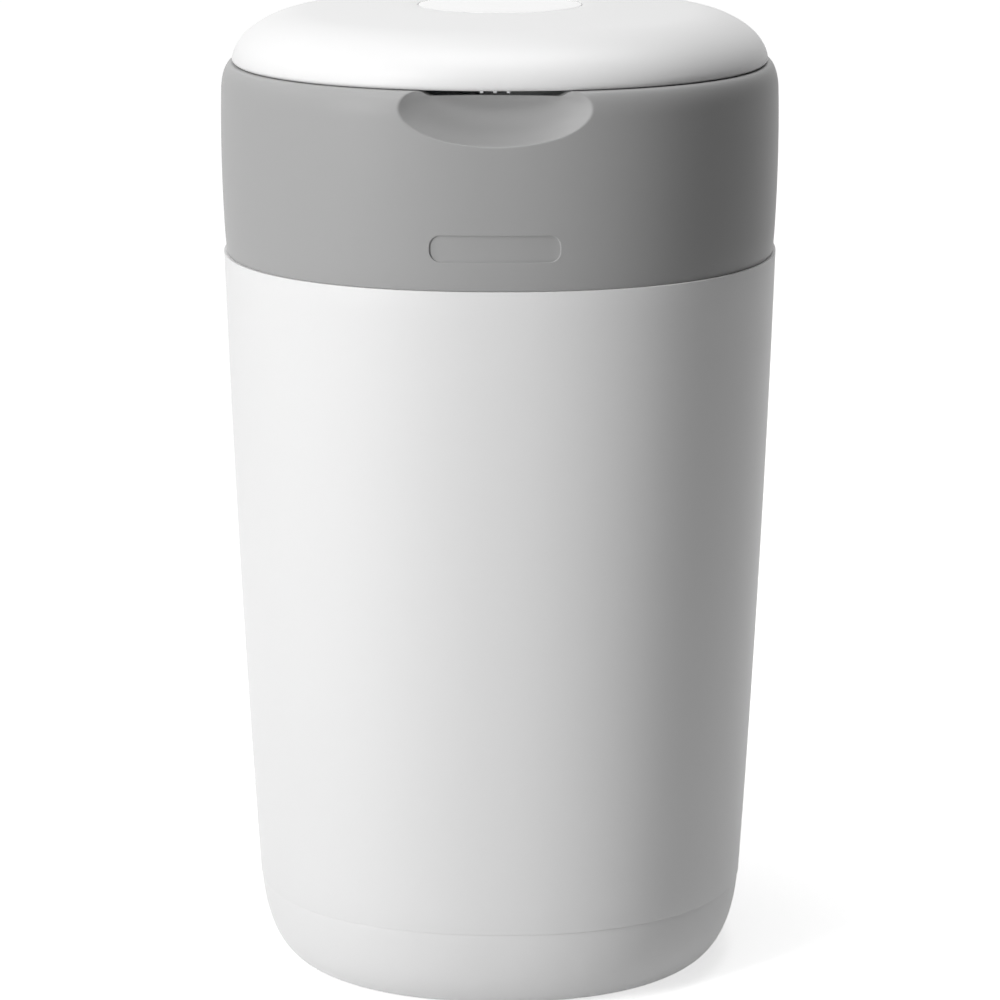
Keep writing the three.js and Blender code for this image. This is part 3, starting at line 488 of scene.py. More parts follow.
def turned(points, material, columns=ROUND_COLUMNS, edge=0.0, closed=True):
    """A section turned about Z as one closed mesh. An open section starts and ends on the axis."""
    points = rounded(points, edge, closed) if edge else points
    points = [*points, points[0]] if closed else points
    line = bpy.data.meshes.new("section")
    edges = [(here, here + 1) for here in range(len(points) - 1)]
    line.from_pydata([(half, squareness, height) for half, height, squareness in points], edges, [])
    return tidied(grown(line, "Turned Section", {"Columns": columns, "Material": material}))


def post(radius, low, high, material, edge=0.0, columns=SMALL_COLUMNS, plan=ROUND_PLAN):
    """An upright bar or disc between two heights on the Z axis."""
    shape = section([(0, low), (radius, low), (radius, high), (0, high)], plan)
    return turned(shape, material, columns, edge, closed=False)


def barrel(radius, low, high, centre, material, edge=0.0004):
    """A round bar along X between two places, with softened ends."""
    bar = post(radius, low, high, material, edge)
    return moved(bar, Matrix.Translation(centre) @ Matrix.Rotation(math.pi / 2, 4, "Y"))


def repeated(part, material, count, turn=0.0, step=0.0, first_turn=0.0):
    """Copies of a part's mesh, round the Z axis or in a row along X."""
    source = linked("tool", part)
    values = {"Part": source, "Count": count, "First Turn": first_turn, "Turn": turn, "Step": step}
    copies = grown(bpy.data.meshes.new("row"), "Repeated Part", {**values, "Material": material})
    bpy.data.objects.remove(source)
    return tidied(copies)


def around(part, material, count, offset_share=0.0):
    """Copies of a part's mesh evenly round the Z axis."""
    turn = 2 * math.pi / count
    return repeated(part, material, count, turn=turn, first_turn=turn * offset_share)


def placed(name, mesh, body, slot, *nodes):
    """The finished piece: shaded, dressed, riding on its body and standing for its frame nodes."""
    mesh = tidied(mesh)
    mesh.name = name
    mesh.materials.clear()
    mesh.materials.append(finish(slot))
    mesh.polygons.foreach_set("material_index", [0] * len(mesh.polygons))
    mesh.shade_smooth()
    mesh.set_sharp_from_angle(angle=SHARP_EDGE)
    piece = linked(name, mesh)
    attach(piece, body)
    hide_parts(*nodes)
    return piece


# Finishes

def shader_nodes(name):
    """An empty material, its nodes and the place on the object."""
    material = bpy.data.materials.new(name)
    material.use_nodes = True
    material.node_tree.nodes.clear()
    nodes = Nodes(material.node_tree)
    return material, nodes, nodes.add("ShaderNodeTexCoord")["Object"]


def surfaced(material, nodes, tone, roughness, normal, **more):
    """Ends a material in one Principled surface. In the further names a low line stands for a space."""
    inputs = {"Base Color": tone, "Roughness": roughness, "Normal": normal}
    inputs.update({name.replace("_", " "): value for name, value in more.items()})
    surface = nodes.add("ShaderNodeBsdfPrincipled", inputs)
    nodes.add("ShaderNodeOutputMaterial", {"Surface": surface["BSDF"]})
    return material


def opaque(colour, share=1.0):
    return (*(channel * share for channel in colour[:3]), 1.0)


def moulded_plastic(name, colour, roughness, specular, coat=0.0):
    """Satin moulded plastic: spark-eroded grain, and a faint drift of tone and gloss over the moulding."""
    material, nodes, place = shader_nodes(name)
    drift = nodes.noise(place, scale=11.0, detail=3.0)
    grain = nodes.noise(place, scale=2600.0, detail=2.0)
    pits = nodes.cells(place, scale=1500.0)
    tone = nodes.mixed(drift, opaque(colour, 0.985), opaque(colour))
    gloss = roughness + (drift - 0.5) * 0.06 + (grain - 0.5) * 0.08
    normal = nodes.bump(grain * 0.6 + pits * 0.4, strength=0.35, depth=0.00001)
    coating = {"Coat_Weight": coat, "Coat_Roughness": 0.12}
    return surfaced(material, nodes, tone, gloss, normal, IOR=1.49, Specular_IOR_Level=specular, **coating)


def soft_rubber(name, colour):
    """Matt rubber with a bloom of paler dust and a fine skin."""
    material, nodes, place = shader_nodes(name)
    bloom = nodes.noise(place, scale=70.0, detail=6.0)
    skin = nodes.noise(place, scale=1900.0, detail=2.0)
    dust = 0.06
    pale = [channel + (1 - channel) * dust for channel in colour[:3]]
    tone = nodes.mixed(bloom, opaque(colour), opaque(pale))
    normal = nodes.bump(skin, strength=0.5, depth=0.00003)
    return surfaced(material, nodes, tone, 0.62 + bloom * 0.2, normal, Sheen_Weight=0.15, IOR=1.52)


def thin_film(name, colour):
    """Glossy plastic film, crumpled fine, with painted shade that makes its tone darker in the crumple's
    hollows.
    """
    material, nodes, place = shader_nodes(name)
    crumple_and_hollow_shade = nodes.noise(place, scale=160.0, detail=5.0)
    creases = nodes.cells(place, scale=190.0, feature="DISTANCE_TO_EDGE")
    # Painted shade: the tone darkens where the crumple noise is low, in the same hollows that the bump sinks.
    tone = nodes.mixed(crumple_and_hollow_shade, opaque(colour, 0.86), opaque(colour))
    normal = nodes.bump(crumple_and_hollow_shade * 0.7 + creases * 0.6, strength=0.6, depth=0.0006)
    return surfaced(material, nodes, tone, 0.2 + crumple_and_hollow_shade * 0.14, normal, Coat_Weight=0.4)


def bright_steel(name, colour):
    """Drawn steel: fine lines along X, with painted shade that darkens their grooves, and cloudy gloss."""
    material, nodes, place = shader_nodes(name)
    drawn = nodes.add("ShaderNodeMapping", {"Vector": place, "Scale": (60.0, 2200.0, 2200.0)})["Vector"]
    lines = nodes.noise(drawn, scale=1.0, detail=2.0)
    cloud = nodes.noise(place, scale=240.0, detail=3.0)
    # Painted shade: the tone darkens where the lines noise is low, in the grooves that the bump sinks.
    tone = nodes.mixed(lines, opaque(colour, 0.85), opaque(colour))
    normal = nodes.bump(lines, strength=0.25, depth=0.00001)
    return surfaced(material, nodes, tone, 0.2 + cloud * 0.14 + lines * 0.08, normal, Metallic=1.0)


def finish(slot):
    """The material of one of the record's slots, made when it is first asked for."""
    name = f"{slot}_finish"
    if name in bpy.data.materials:
        return bpy.data.materials[name]
    look = bpy.context.scene.bin_finishes
    colour = getattr(look, slot)
    if slot in ("dark_rubber", "pale_rubber"):
        return soft_rubber(name, colour)
    if slot == "film":
        return thin_film(name, colour)
    if slot == "steel":
        return bright_steel(name, colour)
    if slot == "gloss_white":
        return moulded_plastic(name, colour, look.gloss_roughness, look.satin_specular, look.disc_coat)
    specular = look.grey_specular if slot == "grey_casing" else look.satin_specular
    return moulded_plastic(name, colour, look.satin_roughness, specular)


# Casing forms

def tub_half(height):
    """Half width of the tub's outside, which bows out a little between its seams."""
    casing = bpy.context.scene.bin_casings
    share = (height - BASE_SEAM_Z) / (SPLIT_Z - BASE_SEAM_Z)
    return BASE_RIM_HALF + (TUB_RIM_HALF - BASE_RIM_HALF) * share + 4 * casing.tub_bow * share * (1 - share)


def base_corner(inset, foot_height):
    """The base's rounded corner, from its seam to its foot, moved in by a wall where it is the inside."""
    casing = bpy.context.scene.bin_casings
    rim = (BASE_RIM_HALF - inset, BASE_SEAM_Z)
    control = (BASE_RIM_HALF - casing.base_corner_inset - inset, max(casing.base_corner_rise, foot_height))
    foot = (BASE_RIM_HALF - casing.foot_inset, foot_height)
    return bezier(*section([rim, control, foot], casing.plan_squareness), CORNER_STEPS)


def collar_side_half(height):
    """Half width of the collar's outside from its foot band to its shoulder: a quadratic curve."""
    low = COLLAR_BAND_Z
    middle = (SPLIT_Z + LID_SEAM_Z) / 2
    high = SHOULDER_Z
    square = low - 2 * middle + high
    slope = 2 * (middle - low)
    constant = low - height
    if abs(square) < WELD:
        share = -constant / slope
    else:
        share = (-slope + math.sqrt(slope * slope - 4 * square * constant)) / (2 * square)
    bulge = 2 * share * (1 - share) * COLLAR_BULGE_HALF
    return (1 - share) ** 2 * COLLAR_BAND_HALF + bulge + share ** 2 * SHOULDER_HALF


def collar_half(height):
    """Half width of the collar's outside at any height above its foot band."""
    if height <= SHOULDER_Z:
        return collar_side_half(height)
    share = min(1.0, (height - SHOULDER_Z) / (COLLAR_TOP_Z - SHOULDER_Z))
    return LID_HALF + (SHOULDER_HALF - LID_HALF) * math.sqrt(1 - share * share)


def lid_height(half, wall=0.0):
    """Height of the dome over a half width: an elliptical edge and a shallow crown, drawn in by a wall."""
    casing = bpy.context.scene.bin_casings
    rim_half = LID_HALF - wall
    into_edge = max(0.0, half - (rim_half - casing.lid_edge_in)) / casing.lid_edge_in
    edge = (casing.lid_edge_up - wall) * math.sqrt(max(0.0, 1 - into_edge * into_edge))
    return LID_RIM_Z + edge + casing.lid_crown * (1 - (half / rim_half) ** 2)


class Hinge:
    """A barrel hinge at the back, placed by its pin in the frame."""

    def __init__(self, pin_node, knuckle, middle):
        low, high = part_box(pin_node)
        self.centre = Vector((0, (low.y + high.y) / 2, (low.z + high.z) / 2))
        self.pin = (high.z - low.z) / 2
        self.half = high.x
        self.reach = high.x + HINGE_ROOM
        self.knuckle = knuckle
        self.middle = middle

    def bar(self, radius, low, high, material):
        return barrel(radius, low, high, self.centre, material)

    def space(self, low, high):
        """Room cut in a casing for the other casing's knuckles."""
        room = self.knuckle + HINGE_ROOM
        corner = self.centre - Vector((0, room, room))
        other = self.centre + Vector((0, room + OVERRUN, room))
        return box_mesh((low, corner.y, corner.z), (high, other.y, other.z))

    def relief(self, low, high):
        """Room cut in a casing past all the knuckles, between two heights."""
        front, back = self.centre.y - 2 * self.knuckle, self.centre.y + OVERRUN
        return box_mesh((-self.reach, front, low), (self.reach, back, high))

    def steps(self, spaces, knuckles, material):
        """Carving steps: the spaces out, the knuckles on, and the pin's bore through them."""
        end = self.half + OVERRUN
        bore = self.bar(self.pin + FIT_GAP, -end, end, material)
        return [*(("DIFFERENCE", space) for space in spaces), ("UNION", knuckles), ("DIFFERENCE", bore)]

    def outer_steps(self, material):
        """Carving steps that give a casing the two outer knuckles."""
        start = self.middle + FIT_GAP
        right = self.bar(self.knuckle, start, self.half, material)
        left = self.bar(self.knuckle, -self.half, -start, material)
        return self.steps([self.space(-self.middle, self.middle)], joined(right, left), material)

    def middle_steps(self, material, *reliefs):
        """Carving steps that give a casing the middle knuckle."""
        spaces = joined(self.space(self.middle, self.reach), self.space(-self.reach, -self.middle))
        end = self.middle - FIT_GAP
        return self.steps([spaces, *reliefs], self.bar(self.knuckle, -end, end, material), material)


def head_hinge():
    return Hinge("head_hinge_pin", knuckle=0.0045, middle=0.019)


def lid_hinge():
    return Hinge("lid_hinge_pin", knuckle=0.004, middle=0.017)


class CollarSkin:
    """The collar: a closed grid of rows and columns, with the scoop and the badge recess fitted in."""

    # Rows over and under the badge's middle, before the last one beside its corners' centres
    badge_rises = (0.0095, 0.0075, 0.0058, 0.0044, 0.0032, 0.0021)
    outer_steps = 8
    inner_steps = 6
    shoulder_steps = 12
    inner_shoulder_steps = 8
    face_steps = 7
    rim_steps = 5
    bowl_steps = 14
    crowding = 1.5
    bowl_rest = 0.1
    halvings = 40

    def __init__(self, casing):
        self.casing = casing
        self.skin = Skin()
        self.squareness = casing.plan_squareness
        self.columns = self.column_angles()
        self.rows = self.section_rows()
        self.grid = [self.skin.loop(self.ring(row)) for row in self.rows]

    def column_angles(self):
        """Directions of the columns: finely spaced over the patches at the front, coarser elsewhere."""
        casing = self.casing
        self.front_count = 2 * round(casing.patch_half_width / casing.patch_pitch)
        xs = [(number - self.front_count / 2) * casing.patch_pitch for number in range(self.front_count + 1)]
        front = [math.atan2(-self.depth_at(SHOULDER_HALF, x), x) for x in xs]
        sweep = front[0] + 2 * math.pi - front[-1]
        return front + [front[-1] + sweep * step / CASING_COLUMNS for step in range(1, CASING_COLUMNS)]

    def depth_at(self, half, x):
        """How far forward the plan reaches at a place across the front."""
        return max(0.0, half ** self.squareness - abs(x) ** self.squareness) ** (1 / self.squareness)

    @staticmethod
    def between(start, end, steps):
        return [start + (end - start) * step / steps for step in range(steps)]

    def section_rows(self):
        """Rows of the closed section from the outer top edge down, under, and up inside to the top."""
        casing = self.casing
        wall, patch_foot = casing.wall, casing.patch_foot_z
        arc = (SHOULDER_HALF - LID_HALF, COLLAR_TOP_Z - SHOULDER_Z, 0)
        rises = (*self.badge_rises, casing.badge_height / 2 - casing.badge_corner)
        badge_steps = [*rises, *(-rise for rise in reversed(rises))]
        heights = self.between(SHOULDER_Z, patch_foot, self.outer_steps)[1:] + [patch_foot]
        heights += self.between(patch_foot, casing.badge_z + rises[0], self.outer_steps)[1:]
        heights += [casing.badge_z + rise for rise in badge_steps]
        shoulder = quarter((LID_HALF, SHOULDER_Z), *arc, self.shoulder_steps)[::-1]
        outer = shoulder + section([(collar_side_half(height), height) for height in heights], 0)
        foot = SPLIT_Z - casing.spigot_drop
        top_half, foot_half = (tub_half(height) - wall - casing.spigot_gap for height in (SPLIT_Z, foot))
        under = section([
            (COLLAR_FOOT_HALF, SPLIT_Z),
            (top_half, SPLIT_Z),
            (foot_half, foot),
            (foot_half - casing.inner_wall, foot),
            (top_half - casing.inner_wall, SPLIT_Z + casing.spigot_shoulder),
        ], 0)
        levels = self.between(COLLAR_BAND_Z, patch_foot, self.inner_steps)
        levels += self.between(patch_foot, SHOULDER_Z, self.inner_steps)
        inner = section([(collar_side_half(height) - wall, height) for height in levels], 0)
        inner += quarter((LID_HALF - wall, SHOULDER_Z), *arc, self.inner_shoulder_steps)
        eased = rounded([outer[-1], *under, inner[0]], casing.casing_edge, closed=False)
        self.patch_row = len(shoulder) + self.outer_steps - 1
        self.badge_row = len(outer) - len(badge_steps)
        self.badge_last = len(outer) - 1
        self.inner_patch_row = len(outer) + len(eased) - 2 + self.inner_steps
        return outer[:-1] + eased[:-1] + inner

    def ring(self, row):
        points = []
        for angle in self.columns:
            across, along = math.cos(angle), math.sin(angle)
            span = abs(across) ** self.squareness + abs(along) ** self.squareness
            reach = row.x * span ** (-1 / self.squareness)
            points.append(Vector((reach * across, reach * along, row.y)))
        return points

    def build(self):
        casing = self.casing
        count, last = len(self.columns), len(self.rows) - 1
        badge_reach = round((casing.badge_width / 2 + casing.badge_margin) / casing.patch_pitch)
        middle = self.front_count // 2
        holes = (
            (range(self.patch_row), range(self.front_count)),
            (range(self.badge_row, self.badge_last), range(middle - badge_reach, middle + badge_reach)),
            (range(self.inner_patch_row, last + 1), range(self.front_count)),
        )
        for row, here in enumerate(self.grid):
            there = self.grid[(row + 1) % (last + 1)]
            for column in range(count):
                if any(row in rows and column in columns for rows, columns in holes):
                    continue
                after = (column + 1) % count
                self.skin.faces.append((here[column], here[after], there[after], there[column]))
        outer_edge = self.scoop(range(self.patch_row + 1), 0.0, 0.0)
        inner_edge = self.scoop(range(last, self.inner_patch_row - 1, -1), casing.wall, casing.scoop_wall)
        self.skin.strip(outer_edge, inner_edge)
        self.badge(middle - badge_reach, middle + badge_reach)
        return self.skin.mesh()

    def scoop(self, rows, wall, margin):
        """Fills an open hole with the bowl and the face round it, and returns the points along its top."""
        left = [self.grid[row][0] for row in rows]
        across = self.grid[rows[-1]][1: self.front_count]
        right = [self.grid[row][self.front_count] for row in reversed(rows)]
        border = left + across + right
        rays = [self.scoop_ray(self.skin.points[number], wall, margin) for number in border]
        loops = [border] + [self.skin.loop([ray[step] for ray in rays]) for step in range(len(rays[0]))]
        self.skin.strips(loops)
        last = loops[-1]
        for here in range((len(last) - 1) // 2):
            there = len(last) - 1 - here
            corners = (last[here], last[here + 1], last[there - 1], last[there])
            self.skin.faces.append(tuple(dict.fromkeys(corners)))
        return [loop[0] for loop in loops] + [loop[-1] for loop in reversed(loops)]

    def scoop_ray(self, start, wall, margin):
        """Points from the hole's border to the rim, over its rounded edge and down into the bowl."""
        casing, edge = self.casing, self.casing.scoop_edge
        reach_x = casing.scoop_half_width + margin
        reach_y = casing.scoop_depth + margin
        reach_z = casing.scoop_drop + margin
        centre_z = LID_SEAM_Z - casing.scoop_centre_drop
        if start.z >= centre_z:
            anchor_z = start.z
            span = abs(start.x) ** self.squareness + abs(start.y) ** self.squareness
            half = span ** (1 / self.squareness)
            size = math.sqrt(1 - ((start.z - centre_z) / reach_z) ** 2)
            way = (math.copysign(size, start.x), 0.0)
        else:
            anchor_z = centre_z
            half = None
            size = 1.0
            angle = math.atan2((start.z - centre_z) / reach_z, start.x / reach_x)
            way = (math.cos(angle), math.sin(angle))
        gap = casing.finger_gap * max(0.0, anchor_z - centre_z) / casing.scoop_centre_drop

        def bowl(turn, past_rim=0.0):
            lowered = gap * smooth(min(1.0, past_rim / GAP_RAMP))
            return Vector((
                reach_x * way[0] * math.cos(turn),
                -SHOULDER_HALF + reach_y * size * math.sin(turn),
                anchor_z + reach_z * way[1] * math.cos(turn) - lowered,
            ))

        def face(x, z):
            width = half if half is not None else collar_half(z) - wall
            return Vector((x, -self.depth_at(width, x), z))

        low, high = 0.0, math.pi / 2
        for _ in range(self.halvings):
            turn = (low + high) / 2
            point = bowl(turn)
            low, high = (turn, high) if point.y < face(point.x, point.z).y else (low, turn)
        rim = bowl(low)
        flat = Vector((start.x - rim.x, start.z - rim.z))
        near = flat * (edge / flat.length)
        flat_pace = math.hypot(reach_x * way[0], reach_z * way[1]) * math.sin(low)
        first_turn = low + edge / math.hypot(flat_pace, reach_y * size * math.cos(low))
        last_turn = math.pi / 2 - self.bowl_rest
        points = []
        for step in range(1, self.face_steps):
            share = 1 - (1 - step / self.face_steps) ** self.crowding
            x = start.x + (rim.x + near.x - start.x) * share
            z = start.z + (rim.z + near.y - start.z) * share
            points.append(face(x, z))
        points += bezier(face(rim.x + near.x, rim.z + near.y), rim, bowl(first_turn), self.rim_steps)
        for step in range(1, self.bowl_steps + 1):
            past_rim = (last_turn - first_turn) * step / self.bowl_steps
            points.append(bowl(first_turn + past_rim, past_rim))
        return points

    def badge(self, first, last):
        """The bare recess: loops from its hole's border over the edge, down the wall and across the floor."""
        casing, corner = self.casing, self.casing.badge_corner
        rows = range(self.badge_row, self.badge_last + 1)
        top = self.grid[rows[0]][first: last + 1]
        right = [self.grid[row][last] for row in rows[1:-1]]
        bottom = self.grid[rows[-1]][first: last + 1][::-1]
        left = [self.grid[row][first] for row in reversed(rows[1:-1])]
        border = top + right + bottom + left
        across = casing.badge_width / 2 - corner
        upward = casing.badge_height / 2 - corner
        lip = 0.0006
        profile = section([(lip, 0), (0, 0), (0, casing.badge_depth), (-corner, casing.badge_depth)], 0)
        loops = [border]
        for step in rounded(profile, casing.badge_edge, closed=False):
            points = []
            for number in border:
                point = self.skin.points[number]
                spot = Vector((point.x, point.z - casing.badge_z))
                core = Vector((max(-across, min(across, spot.x)), max(-upward, min(upward, spot.y))))
                flat = core + (spot - core).normalized() * (corner + step.x)
                height = flat.y + casing.badge_z
                points.append(Vector((flat.x, step.y - self.depth_at(collar_half(height), flat.x), height)))
            loops.append(self.skin.loop(points))
        self.skin.strips(loops, closed=True)
        floor_bottom = len(top) + len(right)
        self.skin.strip(loops[-1][: len(top)], loops[-1][floor_bottom: floor_bottom + len(bottom)][::-1])


# Settings that a user would change

def number_of(label, description, value, **limits):
    return FloatProperty(name=label, description=description, default=value, **limits)


def length_of(label, description, value):
    return number_of(label, description, value, unit="LENGTH")


def count_of(label, description, value):
    return IntProperty(name=label, description=description, default=value, min=1)


def share_of(label, description, value):
    return number_of(label, description, value, min=0.0, max=1.0)


def colour_of(label, description, *value):
    limits = {"subtype": "COLOR", "size": 3, "min": 0.0, "max": 1.0}
    return FloatVectorProperty(name=label, description=description, default=value, **limits)


def lamp_power(label, place, value):
    return number_of(label, f"Watts of the soft lamp {place}", value, min=0.0)


class BinCasings(bpy.types.PropertyGroup):
    """Sizes of the casings and the lid"""

    plan_squareness: number_of("Plan squareness", "2 is a round plan, more is squarer", 2.2, min=2.0)
    wall: length_of("Casing wall", "Wall of the outer casings", 0.0028)
    inner_wall: length_of("Inner wall", "Wall of the skirts and spigots inside", 0.0024)
    seam_step: length_of("Seam step", "How far the base stands in from the tub", 0.0003)
    seam_edge: length_of("Seam edge", "Rounding of the edges at the tub's seams", 0.0002)
    tub_bow: length_of("Tub bow", "How far the tub's side bows out", 0.0013)
    tub_floor_round: length_of("Tub floor round", "Rounding between the tub's wall and floor", 0.006)
    foot_inset: length_of("Foot inset", "From the base's rim in to its foot", 0.024)
    foot_width: length_of("Foot width", "Width of the ring that the bin stands on", 0.009)
    under_recess: length_of("Underside recess", "Height of the underside inside the foot", 0.003)
    base_corner_inset: length_of("Base corner inset", "Draws in the base's rounded corner", 0.003)
    base_corner_rise: length_of("Base corner rise", "Lifts the base's rounded corner", 0.0016)
    casing_edge: length_of("Casing edge", "Rounding of small edges on the collar, lid and disc", 0.0003)
    spigot_drop: length_of("Spigot drop", "How far the collar reaches into the tub", 0.012)
    spigot_gap: length_of("Spigot gap", "Room between the collar's spigot and the tub", 0.001)
    spigot_shoulder: length_of("Spigot shoulder", "Rise of the inside above the spigot", 0.004)
    scoop_half_width: length_of("Scoop half width", "Half width of the scoop's form", 0.0475)
    scoop_depth: length_of("Scoop depth", "How far back the scoop reaches", 0.0135)
    scoop_drop: length_of("Scoop drop", "How far down the scoop reaches", 0.0181)
    scoop_centre_drop: length_of("Scoop centre drop", "Scoop's middle below the lid seam", 0.0053)
    finger_gap: length_of("Finger gap", "How far the scoop's back edge stays below the lid", 0.0023)
    scoop_wall: length_of("Scoop wall", "Wall behind the scoop", 0.0024)
    scoop_edge: length_of("Scoop edge", "Rounding of the scoop's rim", 0.0009)
    patch_half_width: length_of("Patch half width", "Half width of the finer front", 0.06)
    patch_pitch: length_of("Patch pitch", "Column spacing of the finer front", 0.00125)
    patch_foot_z: length_of("Patch foot", "Height where the scoop's patch ends", 0.399)
    badge_width: length_of("Badge width", "Width of the bare recess", 0.058)
    badge_height: length_of("Badge height", "Height of the bare recess", 0.012)
    badge_corner: length_of("Badge corner", "Corner radius of the recess", 0.005)
    badge_depth: length_of("Badge depth", "Depth of the recess", 0.0008)
    badge_edge: length_of("Badge edge", "Rounding of the recess's edges", 0.00025)
    badge_margin: length_of("Badge margin", "Face round the recess that is meshed with it", 0.0045)
    badge_z: length_of("Badge height on the bin", "Height of its middle", 0.361)
    lid_wall: length_of("Lid wall", "Wall of the lid", 0.0026)
    lid_edge_in: length_of("Lid edge width", "Width of the dome's rounded edge", 0.0345)
    lid_edge_up: length_of("Lid edge height", "Height of the dome's rounded edge", 0.0205)
    lid_rim_edge: length_of("Lid rim edge", "Rounding under the dome's edge", 0.0019)
    lid_crown: length_of("Lid crown", "Rise of the lid's crown", 0.0052)
    disc_radius: length_of("Lid disc radius", "Radius of the gloss disc", 0.038)
    disc_recess: length_of("Disc recess", "Depth of the disc's seat in the dome", 0.0009)
    disc_under: length_of("Disc underside", "How far the disc reaches into its seat", 0.0006)
    disc_proud: length_of("Disc rise", "How far the disc's middle stands proud", 0.00025)
    liner_thickness: length_of("Liner thickness", "Thickness of the lid's inner panel", 0.002)
    lip_half_width: length_of("Lip half width", "Half width of the finger lip", 0.018)
    lip_drop: length_of("Lip drop", "How far the finger lip hangs below the lid", 0.0004)
    rib_width: length_of("Rib width", "Width of a grip rib on the lip", 0.0016)
    rib_pitch: length_of("Rib pitch", "Spacing of the grip ribs", 0.0059)
    rib_drop: length_of("Rib drop", "How far the ribs hang below the lip", 0.0005)


class BinWorks(bpy.types.PropertyGroup):
    """Counts and sizes of the parts in the head"""

    finger_count: count_of("Fingers", "Soft fingers in the throat, an even number", 8)
    screw_count: count_of("Screws", "Screws that hold the cup", 4)
    grip_count: count_of("Grips", "Finger grips on the twist ring", 4)
    tooth_count: count_of("Teeth", "Ratchet teeth on the twist ring", 18)
    rib_count: count_of("Lid ribs", "Grip ribs under the lid's front edge", 3)
    pleat_count: count_of("Film pleats", "Pleats round the film pack", 84)
    spring_turns: count_of("Spring turns", "Turns of the cutter's spring", 4)
    ring_rim: length_of("Ring rim", "Radius of the twist ring's raised rim", 0.0933)
    deck_hole: length_of("Deck hole", "Radius of the hole round the twist ring", 0.094)
    throat: length_of("Throat", "Radius of the twist ring's throat", 0.06)
    cup_throat: length_of("Cup throat", "Radius of the hole in the cup's floor", 0.062)
    screw_inset: length_of("Screw inset", "From the cup's flange edge in to its screws", 0.005)
    peg_circle: length_of("Peg circle", "Radius of the circle that the pegs stand on", 0.084)
    peg_depth: length_of("Peg depth", "How far a peg reaches into the cassette's cap", 0.0015)
    peg_radius: length_of("Peg radius", "Radius of a peg between ring and cassette", 0.0025)
    tooth_depth: length_of("Tooth depth", "Depth of the ratchet teeth", 0.0014)
    pleat_depth: length_of("Pleat depth", "How far the film's pleats draw in", 0.0011)
    button_radius: length_of("Button radius", "Radius of the cutter's button", 0.0088)
    arm_half_width: length_of("Arm half width", "Half width of the cutter's arm", 0.003)
    arm_thickness: length_of("Arm thickness", "Thickness of the cutter's arm", 0.0018)
    coil_radius: length_of("Coil radius", "Radius of the cutter's spring", 0.006)
    wire_radius: length_of("Wire radius", "Radius of the spring's wire", 0.0004)


class BinFinishes(bpy.types.PropertyGroup):
    """Colours of the finishes, as linear values, and their gloss"""

    white_casing: colour_of("White casing", "Tub, base and lid", 0.83, 0.83, 0.83)
    grey_casing: colour_of("Grey casing", "Collar", 0.39, 0.39, 0.39)
    gloss_white: colour_of("Gloss white", "Disc in the lid", 0.88, 0.88, 0.88)
    inner_white: colour_of("Inner white", "Liner, deck, cup and twist ring", 0.72, 0.73, 0.735)
    dark_rubber: colour_of("Dark rubber", "Soft fingers", 0.045, 0.048, 0.052)
    pale_rubber: colour_of("Pale rubber", "Lid seal", 0.45, 0.48, 0.5)
    film: colour_of("Film", "Film pack", 0.55, 0.7, 0.82)
    cassette_plastic: colour_of("Cassette", "Tray and cap", 0.6, 0.66, 0.71)
    button: colour_of("Button", "Cutter button", 0.11, 0.34, 0.39)
    steel: colour_of("Steel", "Pins, screws, blade and spring", 0.6, 0.61, 0.62)
    satin_roughness: share_of("Satin roughness", "Roughness of the moulded casings", 0.42)
    gloss_roughness: share_of("Gloss roughness", "Roughness of the lid's disc", 0.14)
    satin_specular: share_of("Satin specular", "Specular level of white and inner mouldings", 0.3)
    grey_specular: share_of("Grey specular", "Specular level of the collar", 0.15)
    disc_coat: share_of("Disc coat", "Clear coat on the lid's disc", 0.6)


class BinStudio(bpy.types.PropertyGroup):
    """Camera and light"""

    camera_distance: length_of("Camera distance", "From the bin's axis", 1.951)
    camera_height: length_of("Camera height", "Above the floor", 0.66)
    camera_turn: number_of("Camera turn", "To the right of the front", math.radians(1.0), subtype="ANGLE")
    aim_height: length_of("Aim height", "Height that the camera looks at", 0.219)
    lens: number_of("Lens", "Focal length in millimetres", 150.9)
    light_aim: length_of("Light aim", "Height that the lamps look at", 0.23)
    side: lamp_power("Side light", "low on the left", 32.0)
    high: lamp_power("High light", "high on the left", 21.0)
    top: lamp_power("Top light", "overhead", 12.0)
    back: lamp_power("Back light", "above and behind", 6.0)
    floor_tone: share_of("Floor tone", "How much light the floor sends back", 0.8)
    floor_glow: share_of("Floor glow", "Least brightness of the floor in the picture", 0.72)


class BinStep(bpy.types.Operator):
    """Shared options of the bin's operators"""

    bl_options = {"REGISTER", "UNDO"}


